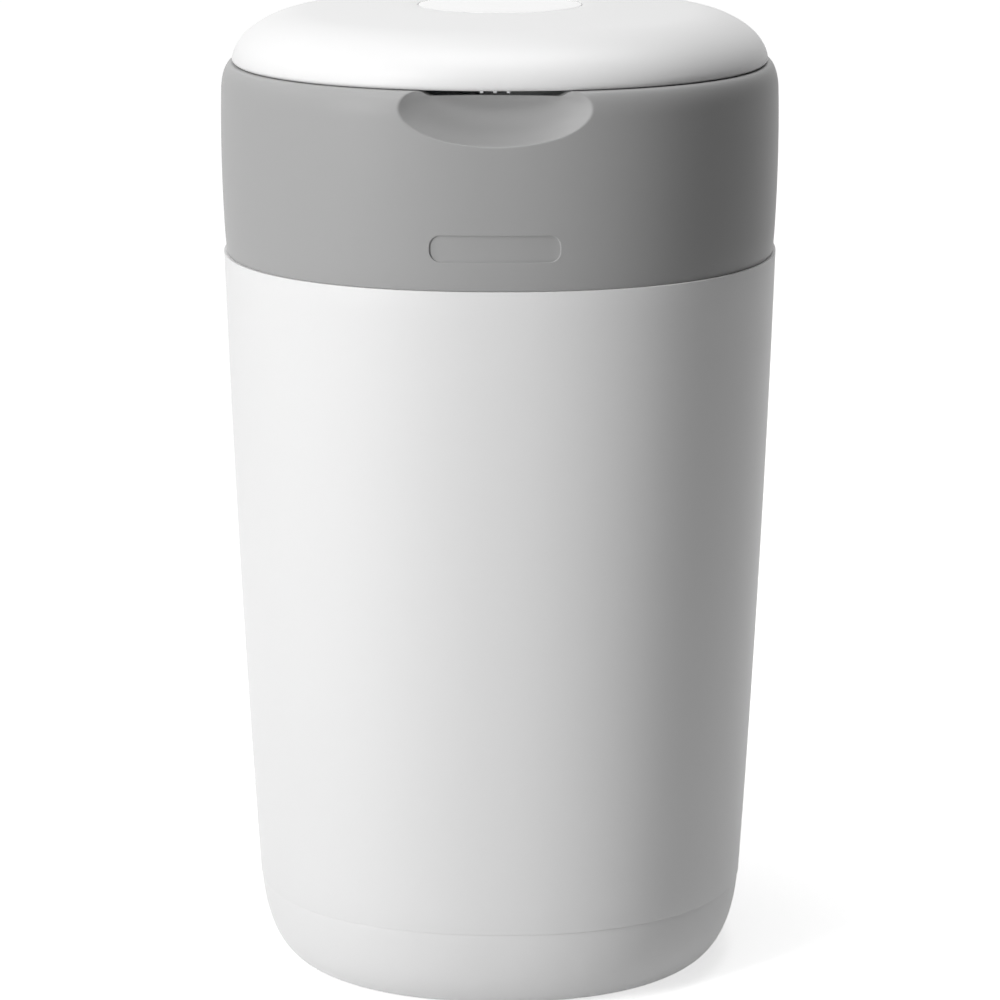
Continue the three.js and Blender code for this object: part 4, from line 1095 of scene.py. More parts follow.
class BIN_OT_tub(BinStep):
    """Builds the tapered tub and its base"""

    bl_idname = "nappy_bin.tub"
    bl_label = "Tub and Base"

    def execute(self, context):
        self.base(context.scene.bin_casings)
        self.tub(context.scene.bin_casings)
        return {"FINISHED"}

    def base(self, casing):
        plastic, plan = finish("white_casing"), casing.plan_squareness
        recess = casing.under_recess
        floor = recess + casing.wall
        ring_inner = BASE_RIM_HALF - casing.foot_inset - casing.foot_width
        shape = section([(0, recess), (ring_inner - recess, recess), (ring_inner, 0)], plan)
        shape += base_corner(casing.seam_step, 0)[::-1]
        shape += base_corner(casing.wall, floor) + section([(0, floor)], plan)
        mesh = turned(shape, plastic, CASING_COLUMNS, casing.seam_edge, closed=False)
        placed("base", mesh, "tub", "white_casing", "base_shell")

    def tub(self, casing):
        """The tub's wall and floor. Its lower end is let into the base, down to a point of its corner."""
        plastic = finish("white_casing")
        plan = casing.plan_squareness
        wall = casing.wall
        floor_round = casing.tub_floor_round
        wall_steps = 24
        foot_step = 7
        inside = base_corner(wall, casing.under_recess + wall)
        top, foot = inside[0], inside[foot_step]
        low_half, floor_half = top.x - FIT_GAP, foot.x - FIT_GAP
        floor = foot.y + wall
        rise = TUB_RIM_Z - TUB_FOOT_Z
        heights = [TUB_FOOT_Z + rise * step / wall_steps for step in range(wall_steps + 1)]
        inner_heights = [height for height in reversed(heights) if height > TUB_FOOT_Z + floor_round]
        shape = section([(0, foot.y), (floor_half, foot.y), (low_half, TUB_FOOT_Z)], plan)
        shape += section([(tub_half(height), height) for height in heights], plan)
        shape += section([(tub_half(height) - wall, height) for height in inner_heights], plan)
        shape += section([(low_half - wall, TUB_FOOT_Z)], plan)
        corner = (floor_half - wall - floor_round, floor + floor_round)
        shape += quarter(corner, floor_round, -floor_round, plan, CURVE_STEPS) + section([(0, floor)], plan)
        mesh = turned(shape, plastic, CASING_COLUMNS, casing.seam_edge, closed=False)
        mesh = carved(mesh, *head_hinge().outer_steps(plastic))
        placed("tub", mesh, "tub", "white_casing", "tub_shell")


class BIN_OT_collar(BinStep):
    """Builds the grey collar with its finger scoop and bare badge recess"""

    bl_idname = "nappy_bin.collar"
    bl_label = "Collar"

    def execute(self, context):
        casing = context.scene.bin_casings
        plastic = finish("grey_casing")
        below, above = head_hinge(), lid_hinge()
        relief = below.relief(SPLIT_Z - casing.spigot_drop - OVERRUN, SPLIT_Z)
        steps = below.middle_steps(plastic, relief) + above.middle_steps(plastic)
        placed("collar", carved(CollarSkin(casing).build(), *steps), "head", "grey_casing", "collar_shell")
        return {"FINISHED"}


class BIN_OT_lid(BinStep):
    """Builds the domed lid, its gloss disc, and the liner, plug and seal under it"""

    bl_idname = "nappy_bin.lid"
    bl_label = "Lid"

    def execute(self, context):
        self.casing = context.scene.bin_casings
        self.dome()
        self.disc()
        self.liner(context.scene.bin_works.rib_count)
        self.plug()
        self.seal()
        return {"FINISHED"}

    def dome(self):
        """The dome. Its plan turns from squared to round between its edge and the disc's seat."""
        casing, plastic = self.casing, finish("white_casing")
        plan = casing.plan_squareness
        wall = casing.lid_wall
        rim = casing.lid_rim_edge
        edge_in = casing.lid_edge_in
        edge_steps = 20
        flat_steps = 8
        seat = casing.disc_radius + FIT_GAP
        flat_half = LID_HALF - edge_in

        def inner_point(half):
            return Vector((half, lid_height(half, wall), plan))

        rim_half = LID_HALF - edge_in * (1 - math.sqrt(1 - (rim / casing.lid_edge_up) ** 2))
        outer = quarter((rim_half - rim, LID_RIM_Z + rim), rim, -rim, plan, CURVE_STEPS)[::-1]
        inner = []
        for step in range(edge_steps + 1):
            half = flat_half + math.cos(math.pi / 2 * step / edge_steps) * edge_in
            if lid_height(half) > LID_RIM_Z + rim:
                outer.append(Vector((half, lid_height(half), plan)))
            inner.append(inner_point(half - wall))
        for step in range(1, flat_steps + 1):
            share = step / flat_steps
            half = flat_half + (seat - flat_half) * share
            outer.append(Vector((half, lid_height(half), plan + (ROUND_PLAN - plan) * smooth(share))))
        seat_halves = [seat * share for share in OUTWARDS[::-1]]
        outer += section([(half, lid_height(half) - casing.disc_recess) for half in seat_halves])
        inner += [inner_point((flat_half - wall) * share) for share in OUTWARDS[-2::-1]]
        mesh = turned(outer[::-1] + inner, plastic, CASING_COLUMNS, casing.casing_edge, closed=False)
        placed("lid", carved(mesh, *lid_hinge().outer_steps(plastic)), "lid", "white_casing", "lid_shell")

    def disc(self):
        """A plain gloss disc let into the dome, a little proud at its middle."""
        casing = self.casing
        over_steps = 11
        under = [(casing.disc_radius * share, casing.disc_under) for share in OUTWARDS]
        shape = [(half, lid_height(half) - drop) for half, drop in under]
        for step in range(over_steps + 1):
            share = 1 - step / over_steps
            half = casing.disc_radius * share
            shape.append((half, lid_height(half) + casing.disc_proud * (1 - share ** 4)))
        mesh = turned(section(shape), finish("gloss_white"), edge=casing.casing_edge, closed=False)
        placed("lid_disc", mesh, "lid", "gloss_white", "lid_inlay")

    def liner(self, rib_count):
        """The inner panel with its finger lip and ribs at the front."""
        casing, plastic = self.casing, finish("inner_white")
        low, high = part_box("lid_liner")
        half = high.x
        lip_half = casing.lip_half_width
        thickness = casing.liner_thickness
        plate_low, lip_low = high.z - thickness, LID_RIM_Z - casing.lip_drop
        lip_root = 0.001
        rib_depth = 0.0015
        rib_root = 0.0006
        rib_edge = 0.00035
        columns = (CASING_COLUMNS, casing.plan_squareness)
        plate = post(half, plate_low, high.z, plastic, 0.0006, *columns)
        skirt = post(half, lip_low, high.z, plastic, 0.0008, *columns)
        window = box_mesh(
            (-lip_half, -half - OVERRUN, low.z - OVERRUN),
            (lip_half, -half + thickness, plate_low + lip_root),
        )
        lip = carved(skirt, ("INTERSECT", window))
        rib = box_mesh(
            (-casing.rib_width / 2, low.y, lip_low - casing.rib_drop),
            (casing.rib_width / 2, -half + rib_depth, lip_low + rib_root),
            rib_edge,
        )
        ribs = repeated(rib, plastic, rib_count, step=casing.rib_pitch)
        relief = lid_hinge().relief(plate_low - OVERRUN, high.z + OVERRUN)
        mesh = carved(plate, ("UNION", lip), ("UNION", ribs), ("DIFFERENCE", relief))
        placed("lid_liner_panel", mesh, "lid", "inner_white", "lid_liner")

    def plug(self):
        """A dished plug with a shallow ring moulded in its face."""
        low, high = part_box("lid_plug")
        radius = high.x
        wall = 0.0022
        face_rise = 0.0008
        ring_start = 0.5
        ring_end = 0.54
        shape = section([
            (0, low.z + face_rise),
            (radius * ring_start, low.z + face_rise),
            (radius * ring_end, low.z),
            (radius, low.z),
            (radius, high.z),
            (radius - wall, high.z),
            (radius - wall, low.z + wall),
            (0, low.z + wall),
        ])
        mesh = turned(shape, finish("inner_white"), edge=0.0012, closed=False)
        placed("plug", mesh, "lid", "inner_white", "lid_plug")

    def seal(self):
        """The soft ring with its slanting lip."""
        low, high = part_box("lid_seal")
        width = 0.010
        lip_width = 0.002
        lip_rise = 0.0017
        outer, inner = high.x, high.x - width
        shape = section([
            (inner, low.z + lip_rise),
            (inner, high.z),
            (outer, high.z),
            (outer, low.z),
            (outer - lip_width, low.z),
            (outer - lip_width - lip_rise, low.z + lip_rise),
        ])
        mesh = turned(shape, finish("pale_rubber"), edge=0.0007)
        placed("seal", mesh, "lid", "pale_rubber", "lid_seal")


class BIN_OT_deck(BinStep):
    """Builds the deck round the twist ring"""

    bl_idname = "nappy_bin.deck"
    bl_label = "Deck"

    def execute(self, context):
        casing, hole = context.scene.bin_casings, context.scene.bin_works.deck_hole
        low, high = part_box("head_deck")
        half, skirt_half = high.x, high.x - casing.inner_wall
        under = DECK_TOP_Z - PLATE_WALL
        shape = section([(hole, DECK_TOP_Z), (hole, under)])
        skirt = [(skirt_half, under), (skirt_half, low.z), (half, low.z), (half, DECK_TOP_Z)]
        shape += section(skirt, casing.plan_squareness)
        mesh = turned(shape, finish("inner_white"), CASING_COLUMNS, edge=0.0007)
        self.clear_scoop(mesh, casing)
        placed("deck", mesh, "head", "inner_white", "head_deck")
        return {"FINISHED"}

    def clear_scoop(self, mesh, casing):
        """Draws the deck's edge in behind the collar's scoop."""
        room = casing.scoop_wall + FIT_GAP
        across, inwards = casing.scoop_half_width + room, casing.scoop_depth + room
        for vertex in mesh.vertices:
            inside = 1 - (vertex.co.x / across) ** 2
            if inside > 0 and vertex.co.y < 0:
                vertex.co.y = max(vertex.co.y, inwards * math.sqrt(inside) - SHOULDER_HALF)


class BIN_OT_cup(BinStep):
    """Builds the cassette cup, its screws and the clamp of the fingers"""

    bl_idname = "nappy_bin.cup"
    bl_label = "Cassette Cup"

    def execute(self, context):
        self.works = context.scene.bin_works
        self.cup()
        self.screws()
        self.clamp()
        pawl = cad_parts["click_pawl"]
        pawl.data.materials.clear()
        pawl.data.materials.append(finish("inner_white"))
        return {"FINISHED"}

    def cup(self):
        """A stepped cup with a flange for the screws, a rim for the fingers and a window for the pawl."""
        plastic = finish("inner_white")
        low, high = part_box("cassette_cup")
        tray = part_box("cassette_tray")
        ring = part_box("twist_ring")
        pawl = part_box("click_pawl")
        floor_wall = 0.0025
        rim_wall = 0.0022
        flange_wall = 0.0027
        ledge_drop = 0.0073
        tray_play = 0.0008
        ring_play = 0.0007
        screw_bore = 0.0018
        window_half = 0.006
        throat, flange = self.works.cup_throat, high.x
        floor = tray[0].z - FIT_GAP
        under = floor - floor_wall
        flange_under, ledge = high.z - flange_wall, high.z - ledge_drop
        bore, upper = tray[1].x + tray_play, ring[1].x + ring_play
        side, upper_side = bore + PLATE_WALL, upper + PLATE_WALL
        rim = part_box("grip_diaphragm")[1].x + FIT_GAP
        shape = section([
            (throat, under), (rim, under), (rim, low.z), (rim + rim_wall, low.z), (rim + rim_wall, under),
            (side, under), (side, ledge - PLATE_WALL), (upper_side, ledge), (upper_side, flange_under),
            (flange, flange_under), (flange, high.z), (upper, high.z), (upper, ledge), (bore, ledge),
            (bore, floor), (throat, floor),
        ])
        hole = post(screw_bore, flange_under - OVERRUN, high.z + OVERRUN, plastic)
        hole = sideways(hole, flange - self.works.screw_inset)
        holes = around(hole, plastic, self.works.screw_count, 0.5)
        window = box_mesh(
            (-upper_side - OVERRUN, -window_half, pawl[0].z - FIT_GAP),
            (-bore, window_half, pawl[1].z + FIT_GAP),
        )
        mesh = carved(turned(shape, plastic, edge=0.0012), ("DIFFERENCE", holes), ("DIFFERENCE", window))
        placed("cup", mesh, "head", "inner_white", "cassette_cup")

    def screws(self):
        """Pan-head screws with a cross recess, seen from below."""
        steel, count = finish("steel"), self.works.screw_count
        low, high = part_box("deck_screw_1")
        head = (high.x - low.x) / 2
        shank = 0.0015
        head_height = 0.0019
        dome_height = 0.0009
        cross_half = 0.0018
        cross_width = 0.00035
        cross_depth = 0.0012
        head_top = low.z + head_height
        dome = [
            (head * math.sin(angle), low.z + dome_height * (1 - math.cos(angle)))
            for angle in (0, 0.5, 1.0, 1.4)
        ]
        shape = section([*dome, (head, head_top), (shank, head_top), (shank, high.z), (0, high.z)])
        screw = turned(shape, steel, SMALL_COLUMNS, edge=0.0002, closed=False)
        bars = [
            ("DIFFERENCE", box_mesh((-x, -y, low.z - OVERRUN), (x, y, low.z + cross_depth)))
            for x, y in ((cross_half, cross_width), (cross_width, cross_half))
        ]
        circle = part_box("cassette_cup")[1].x - self.works.screw_inset
        screws = around(sideways(carved(screw, *bars), circle), steel, count, 0.5)
        nodes = [f"deck_screw_{number + 1}" for number in range(count)]
        placed("cup_screws", screws, "head", "steel", *nodes)

    def clamp(self):
        low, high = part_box("diaphragm_clamp")
        width = 0.012
        outer, inner = high.x, high.x - width
        shape = section([(inner, low.z), (outer, low.z), (outer, high.z), (inner, high.z)])
        mesh = turned(shape, finish("inner_white"), edge=0.0006)
        placed("clamp", mesh, "head", "inner_white", "diaphragm_clamp")


class BIN_OT_fingers(BinStep):
    """Builds the soft fingers in the throat"""

    bl_idname = "nappy_bin.fingers"
    bl_label = "Soft Fingers"

    def execute(self, context):
        rubber, count = finish("dark_rubber"), context.scene.bin_works.finger_count
        low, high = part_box("grip_diaphragm")
        root = 0.057
        tip = 0.025
        thick = 0.0019
        bend_in = 0.62
        bend_down = 0.25
        bend_steps = 12
        slot_length = 0.108
        slot_width = 0.002
        slot_corner = 0.00099
        relief_radius = 0.0017
        drop = high.z - low.z - thick
        bend = (root * bend_in, high.z - bend_down * drop)
        top = bezier(*section([(root, high.z), bend, (tip, high.z - drop)]), bend_steps)
        under = [point - Vector((0, thick, 0)) for point in reversed(top)]
        shape = section([(high.x, high.z)]) + top + under + section([(high.x, high.z - thick)])
        below, above = low.z - OVERRUN, high.z + OVERRUN
        slot = pad_mesh(slot_length, slot_width, slot_corner, below, above, edge=0.0001)
        cuts = []
        # A slot reaches across the throat, so it parts the fingers on both sides
        for number in range(count // 2):
            turn = Matrix.Rotation(2 * math.pi * number / count, 4, "Z")
            cuts.append(("DIFFERENCE", moved(slot.copy(), turn)))
        relief = sideways(post(relief_radius, below, above, rubber), slot_length / 2)
        cuts.append(("DIFFERENCE", around(relief, rubber, count)))
        mesh = carved(turned(shape, rubber, edge=0.0006), *cuts)
        placed("soft_fingers", mesh, "head", "dark_rubber", "grip_diaphragm")
        return {"FINISHED"}


class BIN_OT_twist_ring(BinStep):
    """Builds the twist ring with its grips, pegs, teeth and cutter well"""

    bl_idname = "nappy_bin.twist_ring"
    bl_label = "Twist Ring"

    def execute(self, context):
        works = context.scene.bin_works
        plastic = finish("inner_white")
        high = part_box("twist_ring")[1]
        outer = high.x
        rim = works.ring_rim
        throat = works.throat
        deck_drop = 0.0029
        flange_height = 0.007
        plate_drop = 0.0005
        rim_rise = 0.005
        rim_width = 0.0035
        foot_in = 0.0012
        foot_up = 0.0024
        slope = 0.02
        throat_wall = 0.002
        throat_drop = 0.011
        soft = 0.0035
        flange_top = DECK_TOP_Z - deck_drop
        flange_under = flange_top - flange_height
        band_top = flange_under + soft
        plate_top = flange_top - plate_drop
        plate_under = plate_top - PLATE_WALL
        throat_foot = plate_top - throat_drop
        rim_top, rim_inner = flange_top + rim_rise, rim - rim_width
        tooth_root, flange_inner = outer - works.tooth_depth, outer - PLATE_WALL
        sleeve = throat + throat_wall
        shape = section([
            (tooth_root, flange_under), (tooth_root, band_top), (outer, band_top), (outer, flange_top),
            (rim, flange_top), (rim, rim_top), (rim_inner, rim_top),
            (rim_inner - foot_in, plate_top + foot_up), (rim_inner - foot_in - slope, plate_top),
        ])
        shape += quarter((throat + soft, plate_top - soft), -soft, soft, ROUND_PLAN, CURVE_STEPS)[::-1]
        shape += section([
            (throat, throat_foot), (sleeve, throat_foot), (sleeve, plate_under - soft),
            (sleeve + soft, plate_under), (flange_inner, plate_under), (flange_inner, flange_under),
        ])

        root = PLATE_WALL / 2
        grip_long = 0.018
        grip_wide = 0.012
        grip_gap = 0.0033
        grip = pad_mesh(grip_long, grip_wide, grip_wide / 2, plate_top - root, high.z, edge=0.0024)
        grip = sideways(grip, rim - grip_gap - grip_long / 2)
        peg_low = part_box("cassette_cap")[1].z - works.peg_depth
        peg = sideways(post(works.peg_radius, peg_low, plate_under + root, plastic, 0.0006), works.peg_circle)
        tooth = self.tooth(outer, tooth_root, flange_under, band_top, works.tooth_count)

        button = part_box("cutter_button")
        axis_x = button[1].x - works.button_radius
        play = 0.0004
        well_wall = 0.002
        well_floor = 0.0016
        well_bore = works.button_radius + play
        well_under = button[0].z + works.arm_thickness + FIT_GAP
        well = post(well_bore + well_wall, well_under, plate_top, plastic, 0.0005)
        bore = post(well_bore, well_under + well_floor, rim_top, plastic)
        stem = post(works.arm_half_width + play, well_under - OVERRUN, rim_top, plastic)
        mesh = carved(
            turned(shape, plastic, edge=0.0009),
            ("UNION", around(grip, plastic, works.grip_count, 0.5)),
            ("UNION", around(peg, plastic, works.grip_count, 0.5)),
            ("UNION", around(tooth, plastic, works.tooth_count)),
            ("UNION", sideways(well, axis_x)),
            ("DIFFERENCE", sideways(bore, axis_x)),
            ("DIFFERENCE", sideways(stem, axis_x)),
        )
        placed("hand_ring", mesh, "ring", "inner_white", "twist_ring")
        return {"FINISHED"}

    def tooth(self, outer, root, low, high, count):
        """One ratchet tooth: a wedge that rises slowly and drops straight."""
        skin = Skin()
        steps = 8
        sunk = 0.0007
        least = 0.00002
        inset = 0.0001
        tooth_share = 0.97
        span = 2 * math.pi / count * tooth_share
        levels = []
        for height in (low + inset, high - inset):
            lift = Vector((0, 0, height))
            crest, base = [], []
            for step in range(steps + 1):
                angle = span * step / steps
                radius = outer - (outer - root) * step / steps
                way = Vector((math.cos(angle), math.sin(angle), 0))
                crest.append(way * max(radius, root + least) + lift)
                base.append(way * (root - sunk) + lift)
            levels.append(skin.loop(crest + base[::-1]))
        return skin.column(levels)


class BIN_OT_cassette(BinStep):
    """Builds the film cassette: tray, cap, pleated pack and the film's lead"""

    bl_idname = "nappy_bin.cassette"
    bl_label = "Film Cassette"

    wall = 0.0018
    tray_width = 0.0368
    cap_plate = 0.0024
    film_thickness = 0.0005

    def execute(self, context):
        self.works = context.scene.bin_works
        self.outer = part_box("cassette_tray")[1].x
        self.bore = self.outer - self.tray_width
        self.rim = self.outer - self.wall - FIT_GAP
        self.cap_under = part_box("cassette_cap")[1].z - self.cap_plate
        self.tray()
        self.cap()
        self.pack()
        self.lead()
        return {"FINISHED"}

    def tray(self):
        low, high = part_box("cassette_tray")
        wall = self.wall
        outer = self.outer
        bore = self.bore
        outer_top, floor = self.cap_under - FIT_GAP, low.z + self.wall
        shape = section([
            (bore, low.z), (outer, low.z), (outer, outer_top), (outer - wall, outer_top),
            (outer - wall, floor), (bore + wall, floor), (bore + wall, high.z), (bore, high.z),
        ])
        mesh = turned(shape, finish("cassette_plastic"), edge=0.0007)
        placed("tray", mesh, "ring", "cassette_plastic", "cassette_tray")

    def cap(self):
        """The cap, with a slot inside it for the film and holes for the ring's pegs."""
        plastic, works = finish("cassette_plastic"), self.works
        low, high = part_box("cassette_cap")
        film_slot, skirt_wall = 0.0046, 0.0019
        under = self.cap_under
        rim = self.rim
        skirt = self.rim - skirt_wall
        slot = self.bore + self.wall + film_slot
        shape = section([
            (slot, under), (skirt, under), (skirt, low.z), (rim, low.z),
            (rim, under), (self.outer, under), (self.outer, high.z), (slot, high.z),
        ])
        hole = post(works.peg_radius + FIT_GAP, under - OVERRUN, high.z + OVERRUN, plastic)
        holes = around(sideways(hole, works.peg_circle), plastic, works.grip_count, 0.5)
        mesh = carved(turned(shape, plastic, edge=0.0006), ("DIFFERENCE", holes))
        placed("cap", mesh, "ring", "cassette_plastic", "cassette_cap")

    def pack(self):
        """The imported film: a soft ring drawn into pleats, which stay clear of the tray's inner wall."""
        film, works = finish("film"), self.works
        low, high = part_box("film_pack")
        outer = high.x
        top_inset = 0.004
        shoulder = 0.88
        inner = outer - (self.rim - self.bore - self.wall - 2 * FIT_GAP - self.film_thickness)
        top_half = outer - top_inset
        shares = [*(step / 10 for step in range(1, 9)), shoulder]
        levels = [low.z + (high.z - low.z) * share for share in shares]
        shape = section([(inner, low.z), (outer, low.z), *((outer, level) for level in levels)])
        shape += section([(inner + (top_half - inner) * share, high.z) for share in (1, 0.7, 0.4, 0)])
        shape += section([(inner, level) for level in reversed(levels)])
        mesh = turned(shape, film, works.pleat_count * 8, edge=0.002)
        values = {"Pleats": works.pleat_count, "Depth": works.pleat_depth, "Material": film}
        mesh = grown(mesh, "Pleated Film", values)
        for vertex in mesh.vertices:
            flat = vertex.co.xy
            if flat.length < inner:
                vertex.co.xy = flat * (inner / flat.length)
        placed("film_pleats", mesh, "ring", "film", "film_pack")

    def lead(self):
        """The film's first length, up out of the pack, over the tray's inner wall and down the throat."""
        low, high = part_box("film_lead")
        skin = self.film_thickness
        steps = 22
        fold = 0.002
        outside = high.x
        inside = outside - (2 * FIT_GAP + 3 * skin + self.wall)
        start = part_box("film_pack")[1].z + FIT_GAP
        heights = [low.z + (high.z - fold - low.z) * step / steps for step in range(steps + 1)]
        shape = section([(outside, start), (outside, high.z), (inside, high.z)])
        shape += section([(inside, height) for height in reversed(heights)])
        shape += section([(inside + skin, height) for height in heights])
        top, outer = high.z - skin, outside - skin
        shape += section([(inside + skin, top), (outer, top), (outer, start)])
        mesh = turned(shape, finish("film"), self.works.pleat_count * 4, edge=0.0006)
        placed("film_lead_skin", mesh, "ring", "film", "film_lead")


class BIN_OT_cutter(BinStep):
    """Builds the film cutter: its button, blade and spring"""

    bl_idname = "nappy_bin.cutter"
    bl_label = "Film Cutter"

    def execute(self, context):
        self.works = context.scene.bin_works
        self.axis_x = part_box("cutter_button")[1].x - self.works.button_radius
        self.button()
        self.blade()
        self.spring()
        return {"FINISHED"}

    def button(self):
        """A dished button on a stem, with an arm that holds the blade."""
        plastic, works = finish("button"), self.works
        low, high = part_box("cutter_button")
        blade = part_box("cutter_blade")
        radius = works.button_radius
        arm_half = works.arm_half_width
        arm_top = low.z + works.arm_thickness
        cap_height = 0.0112
        under = high.z - cap_height
        dish = ((0.6, 0.00015), (0.3, 0.0006), (0, 0.0007))
        shape = section([(0, low.z), (arm_half, low.z), (arm_half, under), (radius, under), (radius, high.z)])
        shape += section([(radius * share, high.z - drop) for share, drop in dish])
        button = turned(shape, plastic, SMALL_COLUMNS * 2, edge=0.0016, closed=False)
        arm = box_mesh((low.x, -arm_half, low.z), (self.axis_x, arm_half, arm_top), edge=0.0004)
        slot = box_mesh(
            (low.x - OVERRUN, blade[0].y - FIT_GAP, low.z - OVERRUN),
            (blade[1].x + FIT_GAP, blade[1].y + FIT_GAP, arm_top + OVERRUN),
        )
        mesh = carved(sideways(button, self.axis_x), ("UNION", arm), ("DIFFERENCE", slot))
        placed("button", mesh, "cutter", "button", "cutter_button")

    def blade(self):
        """A thin plate ground to an edge on both sides."""
        low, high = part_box("cutter_blade")
        skin, ground_width = Skin(), 0.0012
        ground = low.x + ground_width
        profile = [(low.x, 0.0), (ground, low.y), (high.x, low.y), (high.x, high.y), (ground, high.y)]
        levels = [skin.loop([(x, y, height) for x, y in profile]) for height in (low.z, high.z)]
        placed("blade", skin.column(levels), "cutter", "steel", "cutter_blade")

    def spring(self):
        """The return spring, squashed as far as the button goes down."""
        low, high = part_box("cutter_spring")
        wire = self.works.wire_radius
        values = {
            "Turns": float(self.works.spring_turns),
            "Radius": self.works.coil_radius,
            "Height": high.z - low.z - 2 * wire,
            "Wire": wire,
            "Material": finish("steel"),
        }
        mesh = grown(bpy.data.meshes.new("coil"), "Wound Spring", values)
        mesh = moved(mesh, Matrix.Translation((self.axis_x, 0, low.z + wire)))
        spring = placed("spring", mesh, "cutter", "steel", "cutter_spring")
        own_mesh(spring)


class BIN_OT_pins(BinStep):
    """Builds the two hinge pins"""

    bl_idname = "nappy_bin.pins"
    bl_label = "Hinge Pins"

    def execute(self, context):
        for name, hinge, body in (("head_hinge", head_hinge(), "tub"), ("lid_hinge", lid_hinge(), "head")):
            pin = barrel(hinge.pin, -hinge.half, hinge.half, hinge.centre, finish("steel"), edge=0.0003)
            placed(f"{name}_bar", pin, body, "steel", f"{name}_pin")
        return {"FINISHED"}


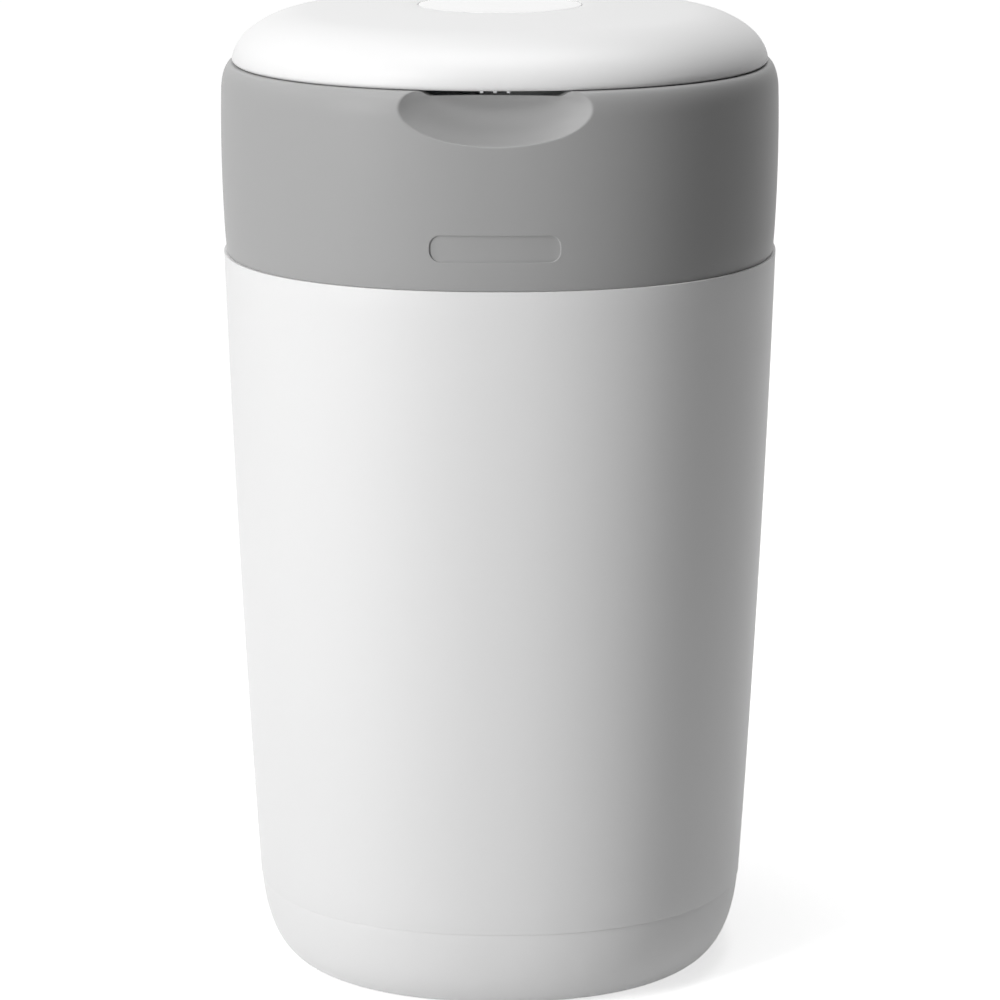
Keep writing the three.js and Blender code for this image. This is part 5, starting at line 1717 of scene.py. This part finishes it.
class BIN_OT_studio(BinStep):
    """Sets up the floor, the soft lamps and the camera"""

    bl_idname = "nappy_bin.studio"
    bl_label = "Studio"

    def execute(self, context):
        studio = context.scene.bin_studio
        context.scene.view_settings.view_transform = "Standard"
        self.world(context.scene)
        self.floor(studio)
        self.lamp("side", studio, azimuth=-47, elevation=14, distance=2.6, size=0.7)
        self.lamp("high", studio, azimuth=-43, elevation=45, distance=2.6, size=0.7)
        self.lamp("top", studio, azimuth=0, elevation=88, distance=1.7, size=0.9)
        self.lamp("back", studio, azimuth=125, elevation=70, distance=2.6, size=0.9)
        self.camera(context.scene, studio)
        return {"FINISHED"}

    def world(self, scene):
        """No light of its own, but white to the camera, in reflections and through glass."""
        world = bpy.data.worlds.new("studio")
        world.use_nodes = True
        world.node_tree.nodes.clear()
        nodes = Nodes(world.node_tree)
        seen = self.seen_directly(nodes)
        light = nodes.add("ShaderNodeBackground", {"Color": (1, 1, 1, 1), "Strength": seen})
        nodes.add("ShaderNodeOutputWorld", {"Surface": light["Background"]})
        scene.world = world

    def seen_directly(self, nodes):
        """1 for what the camera sees itself, in a reflection or through glass, and 0 for other light."""
        path = nodes.add("ShaderNodeLightPath")
        mirrored = nodes.math("MAXIMUM", path["Is Glossy Ray"], path["Is Transmission Ray"])
        return nodes.math("MAXIMUM", path["Is Camera Ray"], mirrored)

    def floor(self, studio):
        """A wide pale floor that the camera sees as white away from the bin's soft shadow."""
        half = 30.0
        shade_start = 0.12
        shade_width = 0.5
        shade_blend = 0.2
        corners = [(-half, -half, 0), (half, -half, 0), (half, half, 0), (-half, half, 0)]
        mesh = bpy.data.meshes.new("floor")
        mesh.from_pydata(corners, [], [(0, 1, 2, 3)])
        material, nodes, place = shader_nodes("floor_finish")
        spot = nodes.parts(place)
        distance = (spot["X"] ** 2 + spot["Y"] ** 2) ** 0.5
        near = nodes.math("SMOOTH_MIN", (distance - shade_start) / shade_width, 1.0, shade_blend)
        away = nodes.math("MAXIMUM", near, 0.0)
        strength = studio.floor_glow + away * (1 - studio.floor_glow)
        lit = nodes.add("ShaderNodeBsdfDiffuse", {"Color": opaque([studio.floor_tone] * 3)})["BSDF"]
        glow = nodes.add("ShaderNodeEmission", {"Color": (1, 1, 1, 1), "Strength": strength})["Emission"]
        both = nodes.add("ShaderNodeAddShader", {0: lit, 1: glow})["Shader"]
        shown = nodes.add("ShaderNodeMixShader", {0: self.seen_directly(nodes), 1: lit, 2: both})
        nodes.add("ShaderNodeOutputMaterial", {"Surface": shown["Shader"]})
        material.cycles.emission_sampling = "NONE"
        mesh.materials.append(material)
        linked("floor", mesh)

    def look_from(self, name, data, place, height):
        """Puts a lamp or camera at a place, looking at a height on the bin's axis."""
        thing = linked(name, data)
        thing.location = place
        thing.rotation_euler = (place - Vector((0, 0, height))).to_track_quat("Z", "Y").to_euler()
        return thing

    def lamp(self, name, studio, azimuth, elevation, distance, size):
        """A soft square lamp that looks at the bin's middle. Azimuth 0 is in front and 90 on the right."""
        data = bpy.data.lights.new(name, "AREA")
        data.size = size
        data.energy = getattr(studio, name)
        turn, lift = math.radians(azimuth), math.radians(elevation)
        way = Vector((math.sin(turn) * math.cos(lift), -math.cos(turn) * math.cos(lift), math.sin(lift)))
        place = Vector((0, 0, studio.light_aim)) + way * distance
        self.look_from(name, data, place, studio.light_aim)

    def camera(self, scene, studio):
        data = bpy.data.cameras.new("camera")
        data.lens = studio.lens
        reach, turn = studio.camera_distance, studio.camera_turn
        place = Vector((reach * math.sin(turn), -reach * math.cos(turn), studio.camera_height))
        scene.camera = self.look_from("camera", data, place, studio.aim_height)


class BIN_PT_panel(bpy.types.Panel):
    """Lists the bin's steps and settings"""

    bl_idname = "BIN_PT_panel"
    bl_label = "Nappy Bin"
    bl_space_type = "VIEW_3D"
    bl_region_type = "UI"
    bl_category = "Nappy Bin"

    def draw(self, context):
        for step in STEPS:
            self.layout.operator(step.bl_idname)
        for group_name, kind in GROUPS.items():
            box = self.layout.box()
            for name in kind.__annotations__:
                box.prop(getattr(context.scene, group_name), name)


GROUPS = {
    "bin_casings": BinCasings,
    "bin_works": BinWorks,
    "bin_finishes": BinFinishes,
    "bin_studio": BinStudio,
}

STEPS = (
    BIN_OT_tub,
    BIN_OT_collar,
    BIN_OT_lid,
    BIN_OT_deck,
    BIN_OT_cup,
    BIN_OT_fingers,
    BIN_OT_twist_ring,
    BIN_OT_cassette,
    BIN_OT_cutter,
    BIN_OT_pins,
    BIN_OT_studio,
)


def register():
    for name, group in GROUPS.items():
        bpy.utils.register_class(group)
        setattr(bpy.types.Scene, name, PointerProperty(type=group))
    for step in STEPS:
        bpy.utils.register_class(step)
    bpy.utils.register_class(BIN_PT_panel)


def unregister():
    bpy.utils.unregister_class(BIN_PT_panel)
    for step in reversed(STEPS):
        bpy.utils.unregister_class(step)
    for name, group in reversed(GROUPS.items()):
        delattr(bpy.types.Scene, name)
        bpy.utils.unregister_class(group)


def main():
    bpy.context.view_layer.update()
    register()
    for step in STEPS:
        group, name = step.bl_idname.split(".")
        getattr(getattr(bpy.ops, group), name)()


if __name__ == "__main__":
    main()
